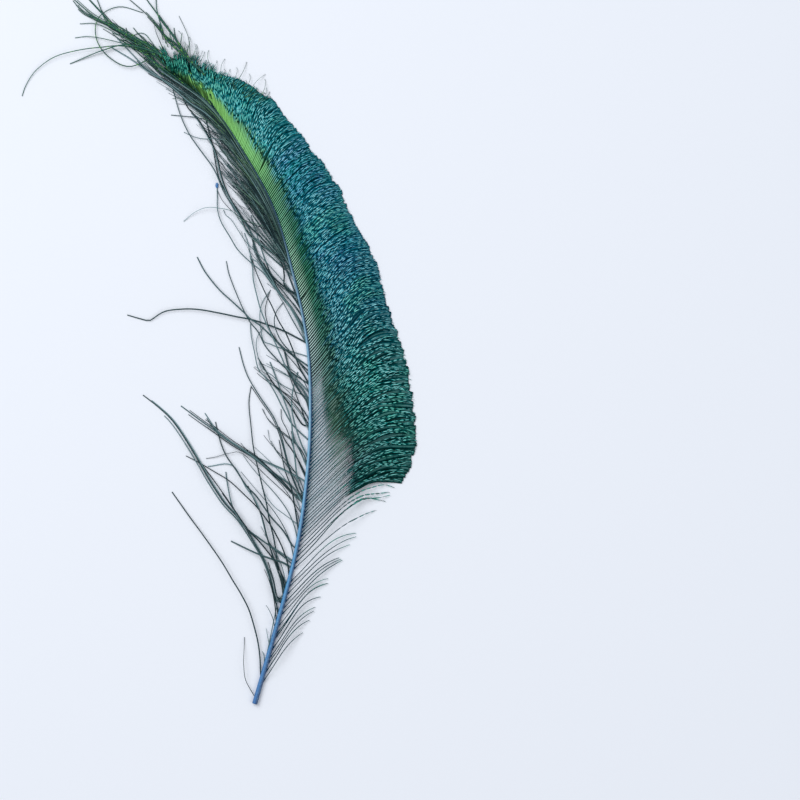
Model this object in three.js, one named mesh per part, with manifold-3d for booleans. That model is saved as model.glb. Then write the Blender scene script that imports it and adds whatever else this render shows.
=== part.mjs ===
// A dyed peacock sword feather as picked, lying face up. Millimetres, +Z up.
// The shaft runs along +Y and its tip leans to -X. The broad vane is on +X, the narrow one on -X.
import * as THREE from 'three';
import { mergeVertices } from 'three/addons/utils/BufferGeometryUtils.js';
import Module from 'manifold-3d';

const wasm = await Module();
wasm.setup();

// Driving dimensions
const quillWidth = 2.7;
const tipWidth = 0.7;
const touchGap = 0.3; // between the shaft and each vane
const broadLockCount = 42;
const narrowLockCount = 19;
const broadArch = 5.5; // how high the broad locks rise between the shaft and their tips
const narrowArch = 4;
const stripWidth = 1.6; // the strip beside the shaft that the locks grow from
const stripHeight = 1.3;

// Centre line of the shaft from its cut end to its tip, as seen from above
const shaftLine = [
  [0, 0], [9, 31.8], [20.5, 75.3], [26.1, 113.3], [27.8, 146], [26.1, 181.3],
  [18.2, 218.3], [8.6, 249], [-5, 274.2], [-21.8, 298.6], [-45, 317],
];

// Broad locks: fraction of the shaft where one grows, then its tip
const broadRows = [
  [0.03, 22.6, 24.3], [0.1, 37.6, 49.3], [0.16, 51.6, 71.8], [0.22, 66.6, 97.8], [0.26, 76.6, 110.8],
  [0.306, 80.6, 125.8], [0.365, 81.1, 144.3], [0.421, 77.6, 164.3], [0.48, 72.6, 182.8],
  [0.526, 67.1, 198.8], [0.598, 61.6, 217.8], [0.657, 55.6, 231.8], [0.705, 48.6, 244.8],
  [0.75, 41.6, 258.8], [0.8, 31.6, 274.3], [0.829, 22.6, 285.8], [0.877, 6.6, 303.8],
  [0.923, -14.4, 316.8], [0.959, -29.4, 328.8], [0.985, -44.9, 340.3],
];

// Narrow locks, in the same way
const narrowRows = [
  [0.05, -3.9, 39.3], [0.1, -8.4, 71.8], [0.16, -13.4, 106.8], [0.22, -20.4, 136.8],
  [0.28, -18.4, 147.8], [0.34, -5.9, 151.8], [0.4, -7.4, 177.8], [0.46, -9.4, 201.8],
  [0.52, -13.4, 220.8], [0.58, -9.4, 239.3], [0.64, -16.4, 256.8], [0.7, -24.4, 272.8],
  [0.75, -29.4, 282.8], [0.8, -34.4, 291.8], [0.85, -37.4, 301.8], [0.9, -47.4, 311.8],
  [0.95, -64.9, 320.8],
];

// Angles in degrees by fraction of the shaft: how a broad lock turns off the shaft and how it ends
const leaveAngles = [[0, 32], [0.2, 32], [0.42, 41], [0.66, 55], [0.92, 48], [1, 36]];
const arriveAngles = [
  [0, 20], [0.2, 4], [0.42, -6], [0.66, 4], [0.8, 12], [0.88, 22], [0.92, 42], [0.96, 76], [1, 104],
];

// Long stray barbs of the narrow vane: where each grows, then points that it passes
const narrowStrays = [
  { from: 0.538, halfWidth: 0.7, through: [[-2.4, 192.3], [-19.4, 196.3], [-53.4, 191.8], [-63.9, 194.3]] },
  { from: 0.51, halfWidth: 0.7, through: [[-2.4, 192.3], [-17.4, 206.8], [-28.9, 223.8]] },
  { from: 0.19, halfWidth: 0.7, through: [[7.1, 72.8], [-27.9, 120.3], [-55.9, 154.8]] },
  { from: 0.303, halfWidth: 0.7, through: [[0.6, 122.8], [-18.4, 136.3], [-37.4, 148.8]] },
  { from: 0.06, halfWidth: 0.7, through: [[-2.4, 31.8], [-10.9, 61.8], [-25.9, 84.8], [-41.4, 105.8]] },
  { from: 0.187, halfWidth: 0.7, through: [[6.1, 97.8], [1.6, 120.8], [-2.4, 145.8], [-1.9, 158.8]] },
  { from: 0.59, halfWidth: 0.7, through: [[-0.9, 219.3], [-9.9, 229.8], [-17.4, 241.8], [-18.9, 259.3]] },
];

// Long stray barbs of the tip, which leave the broad vane together and spread past the shaft's end
const tuftFrom = 0.9;
const tuftStart = [[-31, 314], [-46, 323.5]];
const tipStrays = [
  { halfWidth: 2.4, through: [[-61.9, 332.5], [-79.4, 341.5], [-95, 356.8]] },
  { halfWidth: 1, through: [[-64.9, 328.3], [-84.9, 326.8], [-97.4, 323.3], [-116.4, 303.3]] },
  { halfWidth: 1, through: [[-62.9, 328.8], [-75.9, 326.3], [-92.4, 319.8]] },
  { halfWidth: 1, through: [[-67.9, 330.3], [-81.9, 333.8], [-89.9, 333.8]] },
  { halfWidth: 1.8, through: [[-58.9, 337.3], [-74.9, 346.8]] },
  { halfWidth: 1.2, through: [[-55.4, 341], [-62.9, 352.8]] },
];

const up = new THREE.Vector3(0, 0, 1);

const shaftCurve = new THREE.CatmullRomCurve3(
  shaftLine.map(([x, y]) => new THREE.Vector3(x, y, 0)), false, 'catmullrom', 0.5);
shaftCurve.arcLengthDivisions = 800;

// A row read between the rows of a table, by its first column
function rowAt(table, key) {
  const next = table.findIndex((row) => row[0] >= key);
  if (next === -1) return table[table.length - 1];
  if (next === 0) return table[0];
  const before = table[next - 1];
  const share = (key - before[0]) / (table[next][0] - before[0]);
  return before.map((value, column) => THREE.MathUtils.lerp(value, table[next][column], share));
}

// A steady wobble from -1 to 1 for item number i
const wobble = (i) => Math.sin(i * 2.399 + 0.7);

const leftOf = (direction) => new THREE.Vector3().crossVectors(up, direction).normalize();

function turned(direction, degrees) {
  return direction.clone().applyAxisAngle(up, THREE.MathUtils.degToRad(degrees));
}

const shaftHalfWidth = (t) => THREE.MathUtils.lerp(quillWidth, tipWidth, t ** 0.8) / 2;

const polygon = (points) => new THREE.Shape(points.map(([x, y]) => new THREE.Vector2(x, y)));

const diamond = polygon([[1, 0], [0, 1], [-1, 0], [0, -1]]);

// A straight bar of a section, bent so that its length follows place(v), v from 0 to 1
function sweep(section, steps, place) {
  const bar = new THREE.ExtrudeGeometry(section, { depth: 1, steps, bevelEnabled: false });
  const position = bar.getAttribute('position');
  for (let i = 0; i < position.count; i += 1) {
    const { centre, side, halfWidth, halfHeight } = place(position.getZ(i));
    const spot = centre.clone();
    spot.addScaledVector(side, position.getX(i) * halfWidth);
    spot.addScaledVector(up, position.getY(i) * halfHeight);
    position.setXYZ(i, spot.x, spot.y, spot.z);
  }
  return bar;
}

function solidOf(geometry) {
  const bare = geometry.clone();
  bare.deleteAttribute('normal');
  bare.deleteAttribute('uv');
  const merged = mergeVertices(bare, 0.0001);
  return new wasm.Manifold(new wasm.Mesh({
    numProp: 3,
    vertProperties: merged.getAttribute('position').array,
    triVerts: Uint32Array.from(merged.getIndex().array),
  }));
}

function geometryOf(solid) {
  const { vertProperties, triVerts } = solid.getMesh();
  const geometry = new THREE.BufferGeometry();
  geometry.setAttribute('position', new THREE.BufferAttribute(vertProperties, 3));
  geometry.setIndex(new THREE.BufferAttribute(triVerts, 1));
  geometry.computeVertexNormals();
  return geometry;
}

const joined = (solids) => solids.reduce((whole, solid) => whole.add(solid));

// The shaft: flat underneath, rounded above, tapering all the way
function shaft() {
  const half = [[0.55, -1], [1, -0.35], [1, 0.35], [0.5, 1]];
  const mirrored = half.map(([x, y]) => [-x, y]).reverse();
  const section = polygon([...half, ...mirrored]);
  return sweep(section, 36, (v) => {
    const halfWidth = shaftHalfWidth(v);
    const halfHeight = halfWidth * 0.95;
    const centre = shaftCurve.getPointAt(v).setZ(halfHeight);
    return { centre, side: leftOf(shaftCurve.getTangentAt(v)), halfWidth, halfHeight };
  });
}

// One lock along a curve seen from above. It starts beside the shaft, rises, and comes down to rest.
function lock(curve, { steps, startHeight, arch, rootHalfWidth, halfWidth, thickness }) {
  return solidOf(sweep(diamond, steps, (v) => {
    const point = curve.getPoint(v);
    const taper = 1 - 0.88 * v ** 4;
    const halfHeight = (thickness / 2) * (1 - 0.6 * v);
    const rest = THREE.MathUtils.lerp(Math.max(startHeight, thickness / 2), halfHeight, v);
    return {
      centre: point.setZ(rest + arch * Math.sin(Math.PI * v) ** 1.6),
      side: leftOf(curve.getTangent(v)),
      halfWidth: THREE.MathUtils.lerp(rootHalfWidth, halfWidth, Math.min(1, v * 3)) * taper,
      halfHeight,
    };
  }));
}

// The strip close beside the shaft that holds a vane's locks together. hand is 1 for the left side.
function strip(hand, from, to) {
  return solidOf(sweep(diamond, 24, (v) => {
    const t = THREE.MathUtils.lerp(from, to, v);
    const side = leftOf(shaftCurve.getTangentAt(t));
    const away = shaftHalfWidth(t) + touchGap + 0.3 * stripWidth;
    const halfHeight = (stripHeight / 2) * (1 - 0.3 * v);
    const centre = shaftCurve.getPointAt(t).addScaledVector(side, hand * away);
    centre.setZ(Math.max(shaftHalfWidth(t), halfHeight));
    return { centre, side, halfWidth: stripWidth / 2, halfHeight };
  }));
}

// Everything on the far side of the shaft from a vane, up to the gap that the vane keeps
function farSide(hand) {
  const stations = 36;
  const blockWidth = 9;
  const blockHeight = 60;
  const edge = [];
  const back = [];
  for (let i = 0; i <= stations; i += 1) {
    const t = i / stations;
    const point = shaftCurve.getPointAt(t);
    const side = leftOf(shaftCurve.getTangentAt(t));
    const clear = shaftHalfWidth(t) + touchGap;
    edge.push(point.clone().addScaledVector(side, hand * clear));
    back.unshift(point.clone().addScaledVector(side, -hand * (i === stations ? clear : blockWidth)));
  }
  const outline = new THREE.Shape([...edge, ...back].map(({ x, y }) => new THREE.Vector2(x, y)));
  const block = new THREE.ExtrudeGeometry(outline, { depth: blockHeight, bevelEnabled: false });
  block.translate(0, 0, -blockHeight / 2);
  return solidOf(block);
}

function bezier(root, leaving, tip, arriving) {
  const reach = root.distanceTo(tip);
  return new THREE.CubicBezierCurve3(
    root,
    root.clone().addScaledVector(leaving, reach * 0.4),
    tip.clone().addScaledVector(arriving, -reach * 0.36),
    tip,
  );
}

function strayLock({ from, halfWidth, through }, style) {
  const points = [shaftCurve.getPointAt(from), ...through.map(([x, y]) => new THREE.Vector3(x, y, 0))];
  const curve = new THREE.CatmullRomCurve3(points, false, 'catmullrom', 0.5);
  const start = { steps: 8, startHeight: shaftHalfWidth(from), rootHalfWidth: 0.9 };
  return lock(curve, { ...start, halfWidth, ...style });
}

function broadVane() {
  const locks = [strip(-1, 0.02, 0.985)];
  for (let i = 0; i < broadLockCount; i += 1) {
    const v = i / (broadLockCount - 1);
    const t = THREE.MathUtils.lerp(0.03, 0.985, v ** 0.85);
    const [, tipX, tipY] = rowAt(broadRows, t);
    const heading = shaftCurve.getTangentAt(t);
    const root = shaftCurve.getPointAt(t);
    const tip = new THREE.Vector3(tipX, tipY, 0);
    tip.addScaledVector(tip.clone().sub(root).normalize(), 2.5 * wobble(i));
    const arriving = turned(new THREE.Vector3(1, 0, 0), rowAt(arriveAngles, t)[1] + 4 * wobble(i * 3));
    const sparse = t < 0.2;
    locks.push(lock(bezier(root, turned(heading, -rowAt(leaveAngles, t)[1]), tip, arriving), {
      steps: 6,
      startHeight: shaftHalfWidth(t),
      arch: broadArch * (sparse ? 0.6 : 1) * (1 + 0.15 * wobble(i * 5)),
      rootHalfWidth: sparse ? 0.8 : 2.6,
      halfWidth: sparse ? 1.2 : 4.1,
      thickness: sparse ? 1 : THREE.MathUtils.lerp(1.8, 1.1, t),
    }));
  }
  for (const { halfWidth, through } of tipStrays) {
    const stray = { from: tuftFrom, halfWidth, through: [...tuftStart, ...through] };
    locks.push(strayLock(stray, { arch: 3, thickness: 1.2 }));
  }
  return joined(locks).subtract(farSide(-1));
}

function narrowVane() {
  const locks = [strip(1, 0.02, 0.97)];
  for (let i = 0; i < narrowLockCount; i += 1) {
    const v = i / (narrowLockCount - 1);
    const t = THREE.MathUtils.lerp(0.05, 0.95, v);
    const [, tipX, tipY] = rowAt(narrowRows, t);
    const heading = shaftCurve.getTangentAt(t);
    const root = shaftCurve.getPointAt(t);
    const tip = new THREE.Vector3(tipX, tipY, 0);
    tip.addScaledVector(tip.clone().sub(root).normalize(), 4 * wobble(i) - 3);
    const along = tip.clone().sub(root);
    const reach = along.length();
    locks.push(lock(bezier(root, turned(heading, 22), tip, turned(along.normalize(), 6 * wobble(i * 3))), {
      steps: 6,
      startHeight: shaftHalfWidth(t),
      arch: narrowArch * Math.min(1, reach / 80) * (1 + 0.4 * wobble(i * 5)),
      rootHalfWidth: 1,
      halfWidth: t > 0.6 ? 2 : 1.1,
      thickness: 1.1,
    }));
  }
  for (const stray of narrowStrays) {
    locks.push(strayLock(stray, { arch: 4.5, thickness: 0.9 }));
  }
  return joined(locks).subtract(farSide(1));
}

function named(name, geometry, material) {
  const mesh = new THREE.Mesh(geometry, new THREE.MeshStandardMaterial({ metalness: 0, ...material }));
  mesh.name = name;
  return mesh;
}

const feather = new THREE.Group();
feather.add(named('shaft', shaft(), { color: 0x3f86c4, roughness: 0.35 }));
feather.add(named('broad_vane', geometryOf(broadVane()), { color: 0x14786e, roughness: 0.4 }));
feather.add(named('narrow_vane', geometryOf(narrowVane()), { color: 0x26383c, roughness: 0.6 }));

// The origin is the middle of the underside of the whole feather's box
const box = new THREE.Box3().setFromObject(feather);
const middle = box.getCenter(new THREE.Vector3());
feather.position.set(-middle.x, -middle.y, -box.min.z);
feather.updateMatrixWorld(true);

export default feather;
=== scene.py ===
import math

import bmesh
import bpy
import numpy as np
from mathutils import Matrix, Vector


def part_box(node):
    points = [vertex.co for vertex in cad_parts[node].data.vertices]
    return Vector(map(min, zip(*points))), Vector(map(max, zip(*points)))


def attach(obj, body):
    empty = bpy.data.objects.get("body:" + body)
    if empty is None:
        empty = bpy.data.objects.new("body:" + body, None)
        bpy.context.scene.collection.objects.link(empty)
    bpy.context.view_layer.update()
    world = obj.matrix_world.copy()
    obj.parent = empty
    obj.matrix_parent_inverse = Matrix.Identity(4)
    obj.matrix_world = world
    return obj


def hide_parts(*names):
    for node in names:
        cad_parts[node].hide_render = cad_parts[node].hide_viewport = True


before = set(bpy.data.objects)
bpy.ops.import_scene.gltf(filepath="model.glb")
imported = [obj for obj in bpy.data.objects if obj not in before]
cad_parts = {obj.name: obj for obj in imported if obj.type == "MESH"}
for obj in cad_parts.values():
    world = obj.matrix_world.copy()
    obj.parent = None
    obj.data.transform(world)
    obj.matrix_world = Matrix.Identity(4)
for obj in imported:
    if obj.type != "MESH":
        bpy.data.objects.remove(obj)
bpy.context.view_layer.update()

# A dyed peacock sword feather lying face up. Lengths below are millimetres unless a name says otherwise.
mm = 0.001
tiny = 1e-9                   # keeps divisions by a length possible
anyPhase = 6.28               # waves start anywhere up to this
seeds = {"broad": 11, "narrow": 23, "tip": 41}
rng = np.random.default_rng(seeds["broad"])

# Centre line of the shaft seen from above, from its cut end to its tip
shaftLine = np.array([
    (0, 0), (9, 31.8), (20.5, 75.3), (26.1, 113.3), (27.8, 146), (26.1, 181.3),
    (18.2, 218.3), (8.6, 249), (-5, 274.2), (-21.8, 298.6), (-45, 317),
])
shaftShape = {
    "quillWidth": 2.7,
    "tipWidth": 0.7,
    "narrowing": 0.8,         # power of the change from one to the other
    "heightShare": 0.95,      # height as a share of the width
    "spots": 2400,            # along the fine centre line
    "outlineSpots": 400,
}


def smoothRoute(points, count):
    # An even spline through given points, as count + 1 spots
    points = np.asarray(points, float)
    ends = np.vstack([2 * points[0] - points[1], points, 2 * points[-1] - points[-2]])
    spans = len(points) - 1
    place = np.linspace(0, spans, count + 1)
    index = np.minimum(place.astype(int), spans - 1)
    w = (place - index)[:, None]
    before, start, end, after = (ends[index + k] for k in range(4))
    leave, arrive = 0.5 * (end - before), 0.5 * (after - start)
    cubic = 2 * start - 2 * end + leave + arrive
    square = -3 * start + 3 * end - 2 * leave - arrive
    return start + leave * w + square * w ** 2 + cubic * w ** 3


fineLine = smoothRoute(shaftLine, shaftShape["spots"])
fineSteps = np.linalg.norm(np.diff(fineLine, axis=0), axis=1)
fineShare = np.concatenate([[0], np.cumsum(fineSteps)])
shaftLength = fineShare[-1]
fineShare = fineShare / shaftLength
fineTangent = np.gradient(fineLine, fineShare, axis=0)


def shaftSpot(t):
    return np.stack([np.interp(t, fineShare, fineLine[:, k]) for k in (0, 1)], axis=-1)


def shaftHeading(t):
    # Direction of the shaft at share t of its length, in radians from +X
    alongX, alongY = (np.interp(t, fineShare, fineTangent[:, k]) for k in (0, 1))
    return np.arctan2(alongY, alongX)


def shaftHalfWidth(t):
    quill, tip = shaftShape["quillWidth"], shaftShape["tipWidth"]
    return (quill + (tip - quill) * np.asarray(t) ** shaftShape["narrowing"]) / 2


def shaftHalfHeight(t):
    return shaftHalfWidth(t) * shaftShape["heightShare"]


def headed(angle):
    return np.stack([np.cos(angle), np.sin(angle)], axis=-1)


def outlineLow():
    t = np.linspace(0, 1, shaftShape["outlineSpots"])
    side = headed(shaftHeading(t) + math.pi / 2) * shaftHalfWidth(t)[:, None]
    return np.vstack([shaftSpot(t) + side, shaftSpot(t) - side]).min(axis=0)


# The frame puts the shaft where its box is, so everything is moved by the same amount
shaftBoxLow = np.array(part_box("shaft")[0]) / mm
shift = np.array([*(shaftBoxLow[:2] - outlineLow()), 0.0])
print("frame loaded, feather moved by", shift.round(2))


class Wire:
    # A socket that can be used in sums: each operator adds one Math node
    def __init__(self, finish, socket):
        self.finish = finish
        self.socket = socket

    def math(self, kind, *others):
        values = {i: v for i, v in enumerate((self, *others))}
        return self.finish.node("ShaderNodeMath", {"operation": kind}, values)

    def __add__(self, other):
        return self.math("ADD", other)

    def __sub__(self, other):
        return self.math("SUBTRACT", other)

    def __rsub__(self, other):
        return self.finish.value(other).math("SUBTRACT", self)

    def __mul__(self, other):
        return self.math("MULTIPLY", other)

    def __pow__(self, other):
        return self.math("POWER", other)

    __radd__ = __add__
    __rmul__ = __mul__

    def clamp(self):
        return self.finish.node("ShaderNodeClamp", {}, {"Value": self})

    def span(self, low, high):
        # 0 below low, 1 above high, smooth between
        settings = {"interpolation_type": "SMOOTHSTEP"}
        return self.finish.node("ShaderNodeMapRange", settings, {"Value": self, 1: low, 2: high})


class Finish:
    # A material with one Principled shader, and short ways to add nodes. It reads marks, which are stored
    # on the mesh, and noises, each given by its scale and detail.
    def __init__(self, name, *marks, **noises):
        self.material = bpy.data.materials.new(name)
        self.material.use_nodes = True
        self.tree = self.material.node_tree
        self.shader = next(n for n in self.tree.nodes if n.type == "BSDF_PRINCIPLED")
        self.reads = {mark: self.attribute(mark) for mark in marks}
        self.reads.update({key: self.noise(*noise) for key, noise in noises.items()})

    def node(self, kind, settings, inputs, output=0):
        made = self.tree.nodes.new(kind)
        for key, value in settings.items():
            if key == "stops":
                self.setStops(made.color_ramp, value)
            else:
                setattr(made, key, value)
        for key, value in inputs.items():
            self.join(made.inputs[key], value)
        return Wire(self, made.outputs[output])

    def setStops(self, ramp, stops):
        while len(ramp.elements) < len(stops):
            ramp.elements.new(0.5)
        for element, (position, colour) in zip(ramp.elements, stops):
            element.position = position
            element.color = (*colour, 1)

    def join(self, socket, value):
        if isinstance(value, Wire):
            self.tree.links.new(value.socket, socket)
        elif isinstance(value, (tuple, list)) and socket.type == "RGBA":
            socket.default_value = (*value, 1)
        else:
            socket.default_value = value

    def value(self, number):
        wire = self.node("ShaderNodeValue", {}, {})
        wire.socket.default_value = number
        return wire

    def attribute(self, name):
        return self.node("ShaderNodeAttribute", {"attribute_name": name}, {}, "Fac")

    def noise(self, scale, detail):
        place = self.node("ShaderNodeTexCoord", {}, {}, "Object")
        settings = {"noise_dimensions": "3D"}
        return self.node("ShaderNodeTexNoise", settings, {"Vector": place, "Scale": scale, "Detail": detail})

    def ramp(self, share, stops):
        return self.node("ShaderNodeValToRGB", {"stops": stops}, {"Fac": share})

    def mix(self, share, first, second):
        # a colour Mix node has its factor in socket 0, its colours in 6 and 7 and its result in 2
        settings = {"data_type": "RGBA"}
        return self.node("ShaderNodeMix", settings, {0: share, 6: first, 7: second}, 2)

    def part(self, most, *zones):
        # a zone says what is read, where there is none of it and where there is most
        for key, none, full in zones:
            most = self.reads[key].span(none, full) * most
        return most

    def set(self, **sockets):
        for name, value in sockets.items():
            self.join(self.shader.inputs[name.replace("_", " ")], value)

    def bump(self, height, strength, distance):
        inputs = {"Height": height, "Strength": strength, "Distance": distance}
        return self.node("ShaderNodeBump", {}, inputs)


def finishPiece(piece, finish, node):
    piece.data.materials.append(finish.material)
    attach(piece, "root")
    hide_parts(node)
    print(piece.name, "made:", len(piece.data.polygons), "faces")


def meshFromBm(bm, name):
    mesh = bpy.data.meshes.new(name)
    bm.to_mesh(mesh)
    bm.free()
    mesh.shade_smooth()
    piece = bpy.data.objects.new(name, mesh)
    bpy.context.collection.objects.link(piece)
    return piece


quillLook = {
    "sides": 20,
    "stations": 220,
    "flatUnder": -0.86,       # the underside is cut flat at this share of the half height
    "wall": 0.3,              # of the open cut end
    "hollowDepth": 9.0,
    "hollowEnd": 0.05,        # how wide the hollow is at its bottom, as a share of the shaft
    "rimWidth": 0.97,         # the cut edge is a little narrower than the shaft
    "rimRun": 0.0012,         # share of the shaft over which it widens
    "tipEnd": 0.5,
    "body": [
        (0.0, (0.03, 0.15, 0.4)), (0.2, (0.07, 0.29, 0.56)), (0.42, (0.23, 0.48, 0.66)),
        (0.58, (0.18, 0.36, 0.5)), (0.72, (0.06, 0.15, 0.18)), (0.84, (0.03, 0.075, 0.06)),
        (1.0, (0.01, 0.05, 0.035)),
    ],
    # painted shade: the quill's colour darkened along both edges and on its right side
    "shadeColour": (0.006, 0.05, 0.16),
    "shadeEdges": (0.45, 1.0),
    "edgeShare": 0.4,
    "shadeRight": (0.9, ("around", -0.25, 0.6)),  # around is -1 at its left side and 1 at its right
    "noise": (900, 3),
    "streaks": (0.35, ("streaks", 0.5, 0.75)),
    "streakColour": (0.3, 0.55, 0.75),
    "roughness": (0.32, 0.18),
    "coat": 0.3,
    "coatRoughness": 0.25,
    "bump": (0.25, 0.0002),
}


def stationMatrix(t, widthShare):
    # Takes a unit section in the XZ plane to its place on the shaft
    heading = float(shaftHeading(t))
    spot = shaftSpot(t) + shift[:2]
    half, high = float(shaftHalfWidth(t)), float(shaftHalfHeight(t))
    centre = Vector((*spot, high)) * mm
    turn = Matrix.Rotation(heading - math.pi / 2, 4, "Z")
    size = Matrix.Diagonal((half * widthShare * mm, 1, high * widthShare * mm, 1))
    return Matrix.Translation(centre) @ turn @ size


def growRing(bm, ring, move, t):
    along = bm.verts.layers.float["along"]
    edges = list({e for v in ring for e in v.link_edges if e.other_vert(v) in ring})
    out = bmesh.ops.extrude_edge_only(bm, edges=edges)
    verts = [g for g in out["geom"] if isinstance(g, bmesh.types.BMVert)]
    bmesh.ops.transform(bm, matrix=move, verts=verts)
    for vert in verts:
        vert[along] = t
    return set(verts)


def shaftPiece():
    bm = bmesh.new()
    around = bm.verts.layers.float.new("around")
    bm.verts.layers.float.new("along")
    upright = Matrix.Rotation(math.pi / 2, 4, "X")
    made = bmesh.ops.create_circle(bm, segments=quillLook["sides"], radius=1, matrix=upright)
    under = quillLook["flatUnder"]
    for vert in made["verts"]:
        vert[around] = vert.co.x
        vert.co.z = max(vert.co.z, under) / (1 if vert.co.z > 0 else -under)
    # from the bottom of the hollow, out over the cut edge, and up the outside
    inner = 1 - 2 * quillLook["wall"] / shaftShape["quillWidth"]
    depth = quillLook["hollowDepth"] / shaftLength
    route = [(depth, quillLook["hollowEnd"]), (depth, inner), (depth * 0.5, inner), (0.0, inner)]
    route += [(0.0, quillLook["rimWidth"]), (quillLook["rimRun"], 1.0)]
    route += [(t, 1.0) for t in np.linspace(0, 1, quillLook["stations"])[1:]]
    route += [(1.0, quillLook["tipEnd"])]
    old = stationMatrix(*route[0])
    bmesh.ops.transform(bm, matrix=old, verts=made["verts"])
    start = ring = set(made["verts"])
    for t, share in route[1:]:
        new = stationMatrix(t, share)
        ring = growRing(bm, ring, new @ old.inverted(), t)
        old = new
    for loop in (start, ring):
        edges = [e for e in bm.edges if e.is_boundary and e.verts[0] in loop]
        bmesh.ops.contextual_create(bm, geom=edges)
    bmesh.ops.recalc_face_normals(bm, faces=bm.faces)
    return meshFromBm(bm, "quill_shaft")


def shaftFinish():
    look = Finish("dyedQuillWithPaintedShade", "along", "around", streaks=quillLook["noise"])
    along, around, streaks = look.reads.values()
    # painted shade: darker along both edges and on the right side, away from the light
    edge = (around * around).span(*quillLook["shadeEdges"]) * quillLook["edgeShare"]
    shade = (edge + look.part(*quillLook["shadeRight"])).clamp()
    body = look.mix(shade, look.ramp(along, quillLook["body"]), quillLook["shadeColour"])
    body = look.mix(look.part(*quillLook["streaks"]), body, quillLook["streakColour"])
    least, more = quillLook["roughness"]
    look.set(Base_Color=body, Roughness=least + streaks * more)
    look.set(Coat_Weight=quillLook["coat"], Coat_Roughness=quillLook["coatRoughness"])
    look.set(Normal=look.bump(streaks, *quillLook["bump"]))
    return look


finishPiece(shaftPiece(), shaftFinish(), "shaft")

# Every barb is a thin closed ribbon, and the ribbons of one piece are joined in one mesh
ribbonLook = {
    "onTable": 0.02,          # no barb goes lower than this
    "edgeShine": 0.35,        # its thin edges get this share of the painted highlight of its flat sides
    "rootInset": 0.7,         # it starts this share of the way from the middle of the shaft to its side
    "leaveShare": 0.4,        # how straight it leaves and arrives, as shares of its length
    "arriveShare": 0.36,
}


def betweenRows(t, rows):
    # Reads columns of a table of rows (share, value, ...) at shares t
    rows = np.array(rows, float)
    columns = [np.interp(t, rows[:, 0], rows[:, k]) for k in range(1, rows.shape[1])]
    return columns[0] if len(columns) == 1 else np.stack(columns, axis=-1)


def rising(x, start, run):
    # 0 up to start, then up to 1 within run
    return np.clip((x - start) / run, 0, 1)


def eased(share):
    return share * share * (3 - 2 * share)


def rootSpots(t, hand):
    # Where barbs leave the shaft: hand is 1 for its left side and -1 for its right
    side = headed(shaftHeading(t) + math.pi / 2)
    return shaftSpot(t) + hand * side * shaftHalfWidth(t)[..., None] * ribbonLook["rootInset"]


def bezierRoutes(root, leave, tip, arrive, places, leaveShare=ribbonLook["leaveShare"]):
    # root, tip: (n, 2). leave, arrive: angles in radians. places: shares of the curve, (n or 1, stations)
    reach = np.linalg.norm(tip - root, axis=1)[:, None]
    first = root + headed(leave) * reach * leaveShare
    last = tip - headed(arrive) * reach * ribbonLook["arriveShare"]
    v = places[..., None]
    u = 1 - v
    root, first, last, tip = (p[:, None, :] for p in (root, first, last, tip))
    return u ** 3 * root + 3 * u * u * v * first + 3 * u * v * v * last + v ** 3 * tip


def ribbonMesh(name, centre, width, thickness, twist, marks):
    # centre (n, s, 3) in local millimetres. width, thickness, twist (n, s). marks: attribute name to (n, s)
    count, stations = centre.shape[:2]
    tangent = np.gradient(centre, axis=1)
    tangent /= np.maximum(np.linalg.norm(tangent, axis=2, keepdims=True), tiny)
    side = np.stack([-tangent[..., 1], tangent[..., 0], np.zeros((count, stations))], axis=-1)
    side /= np.maximum(np.linalg.norm(side, axis=2, keepdims=True), tiny)
    rise = np.cross(tangent, side)
    cos, sin = np.cos(twist)[..., None], np.sin(twist)[..., None]
    across = (cos * side + sin * rise) * width[..., None] / 2
    through = (cos * rise - sin * side) * thickness[..., None] / 2
    corners = np.stack([centre + across, centre + through, centre - across, centre - through], axis=2)
    spots = (corners.reshape(-1, 3) + shift) * mm
    spots[:, 2] = np.maximum(spots[:, 2], ribbonLook["onTable"] * mm)

    start = (np.arange(count) * stations * 4)[:, None, None, None]
    ring = (np.arange(stations - 1) * 4)[None, :, None, None]
    corner = np.arange(4)[None, None, :, None]
    nextCorner = (corner + 1) % 4
    quads = np.concatenate([corner, nextCorner, nextCorner + 4, corner + 4], axis=3) + start + ring
    rootCap = start[:, 0, 0] + np.array([[3, 2, 1, 0]])
    tipCap = start[:, 0, 0] + (stations - 1) * 4 + np.array([[0, 1, 2, 3]])
    faces = np.concatenate([quads.reshape(-1, 4), rootCap, tipCap])

    mesh = bpy.data.meshes.new(name)
    mesh.vertices.add(len(spots))
    mesh.vertices.foreach_set("co", spots.ravel())
    mesh.loops.add(faces.size)
    mesh.loops.foreach_set("vertex_index", faces.ravel())
    mesh.polygons.add(len(faces))
    mesh.polygons.foreach_set("loop_start", np.arange(0, faces.size, 4))
    mesh.update(calc_edges=True)

    # painted highlight: the face mark makes a ribbon brightest along its middle where it lies flat, and
    # darker on its thin edges
    flat = np.abs(np.cos(twist))
    edge = flat * ribbonLook["edgeShine"]
    values = {key: np.repeat(mark[..., None], 4, axis=2) for key, mark in marks.items()}
    values["face"] = np.stack([edge, flat, edge, flat], axis=2)
    for key, value in values.items():
        layer = mesh.attributes.new(key, "FLOAT", "POINT")
        layer.data.foreach_set("value", np.ascontiguousarray(value, dtype=np.float32).ravel())
    piece = bpy.data.objects.new(name, mesh)
    bpy.context.collection.objects.link(piece)
    return piece


def distanceAlong(route):
    steps = np.linalg.norm(np.diff(route, axis=1), axis=2)
    return np.concatenate([np.zeros((len(route), 1)), np.cumsum(steps, axis=1)], axis=1)


waveLook = {"count": 4, "uneven": (0.7, 1.3), "fall": 0.7, "scale": 1.9}


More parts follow.
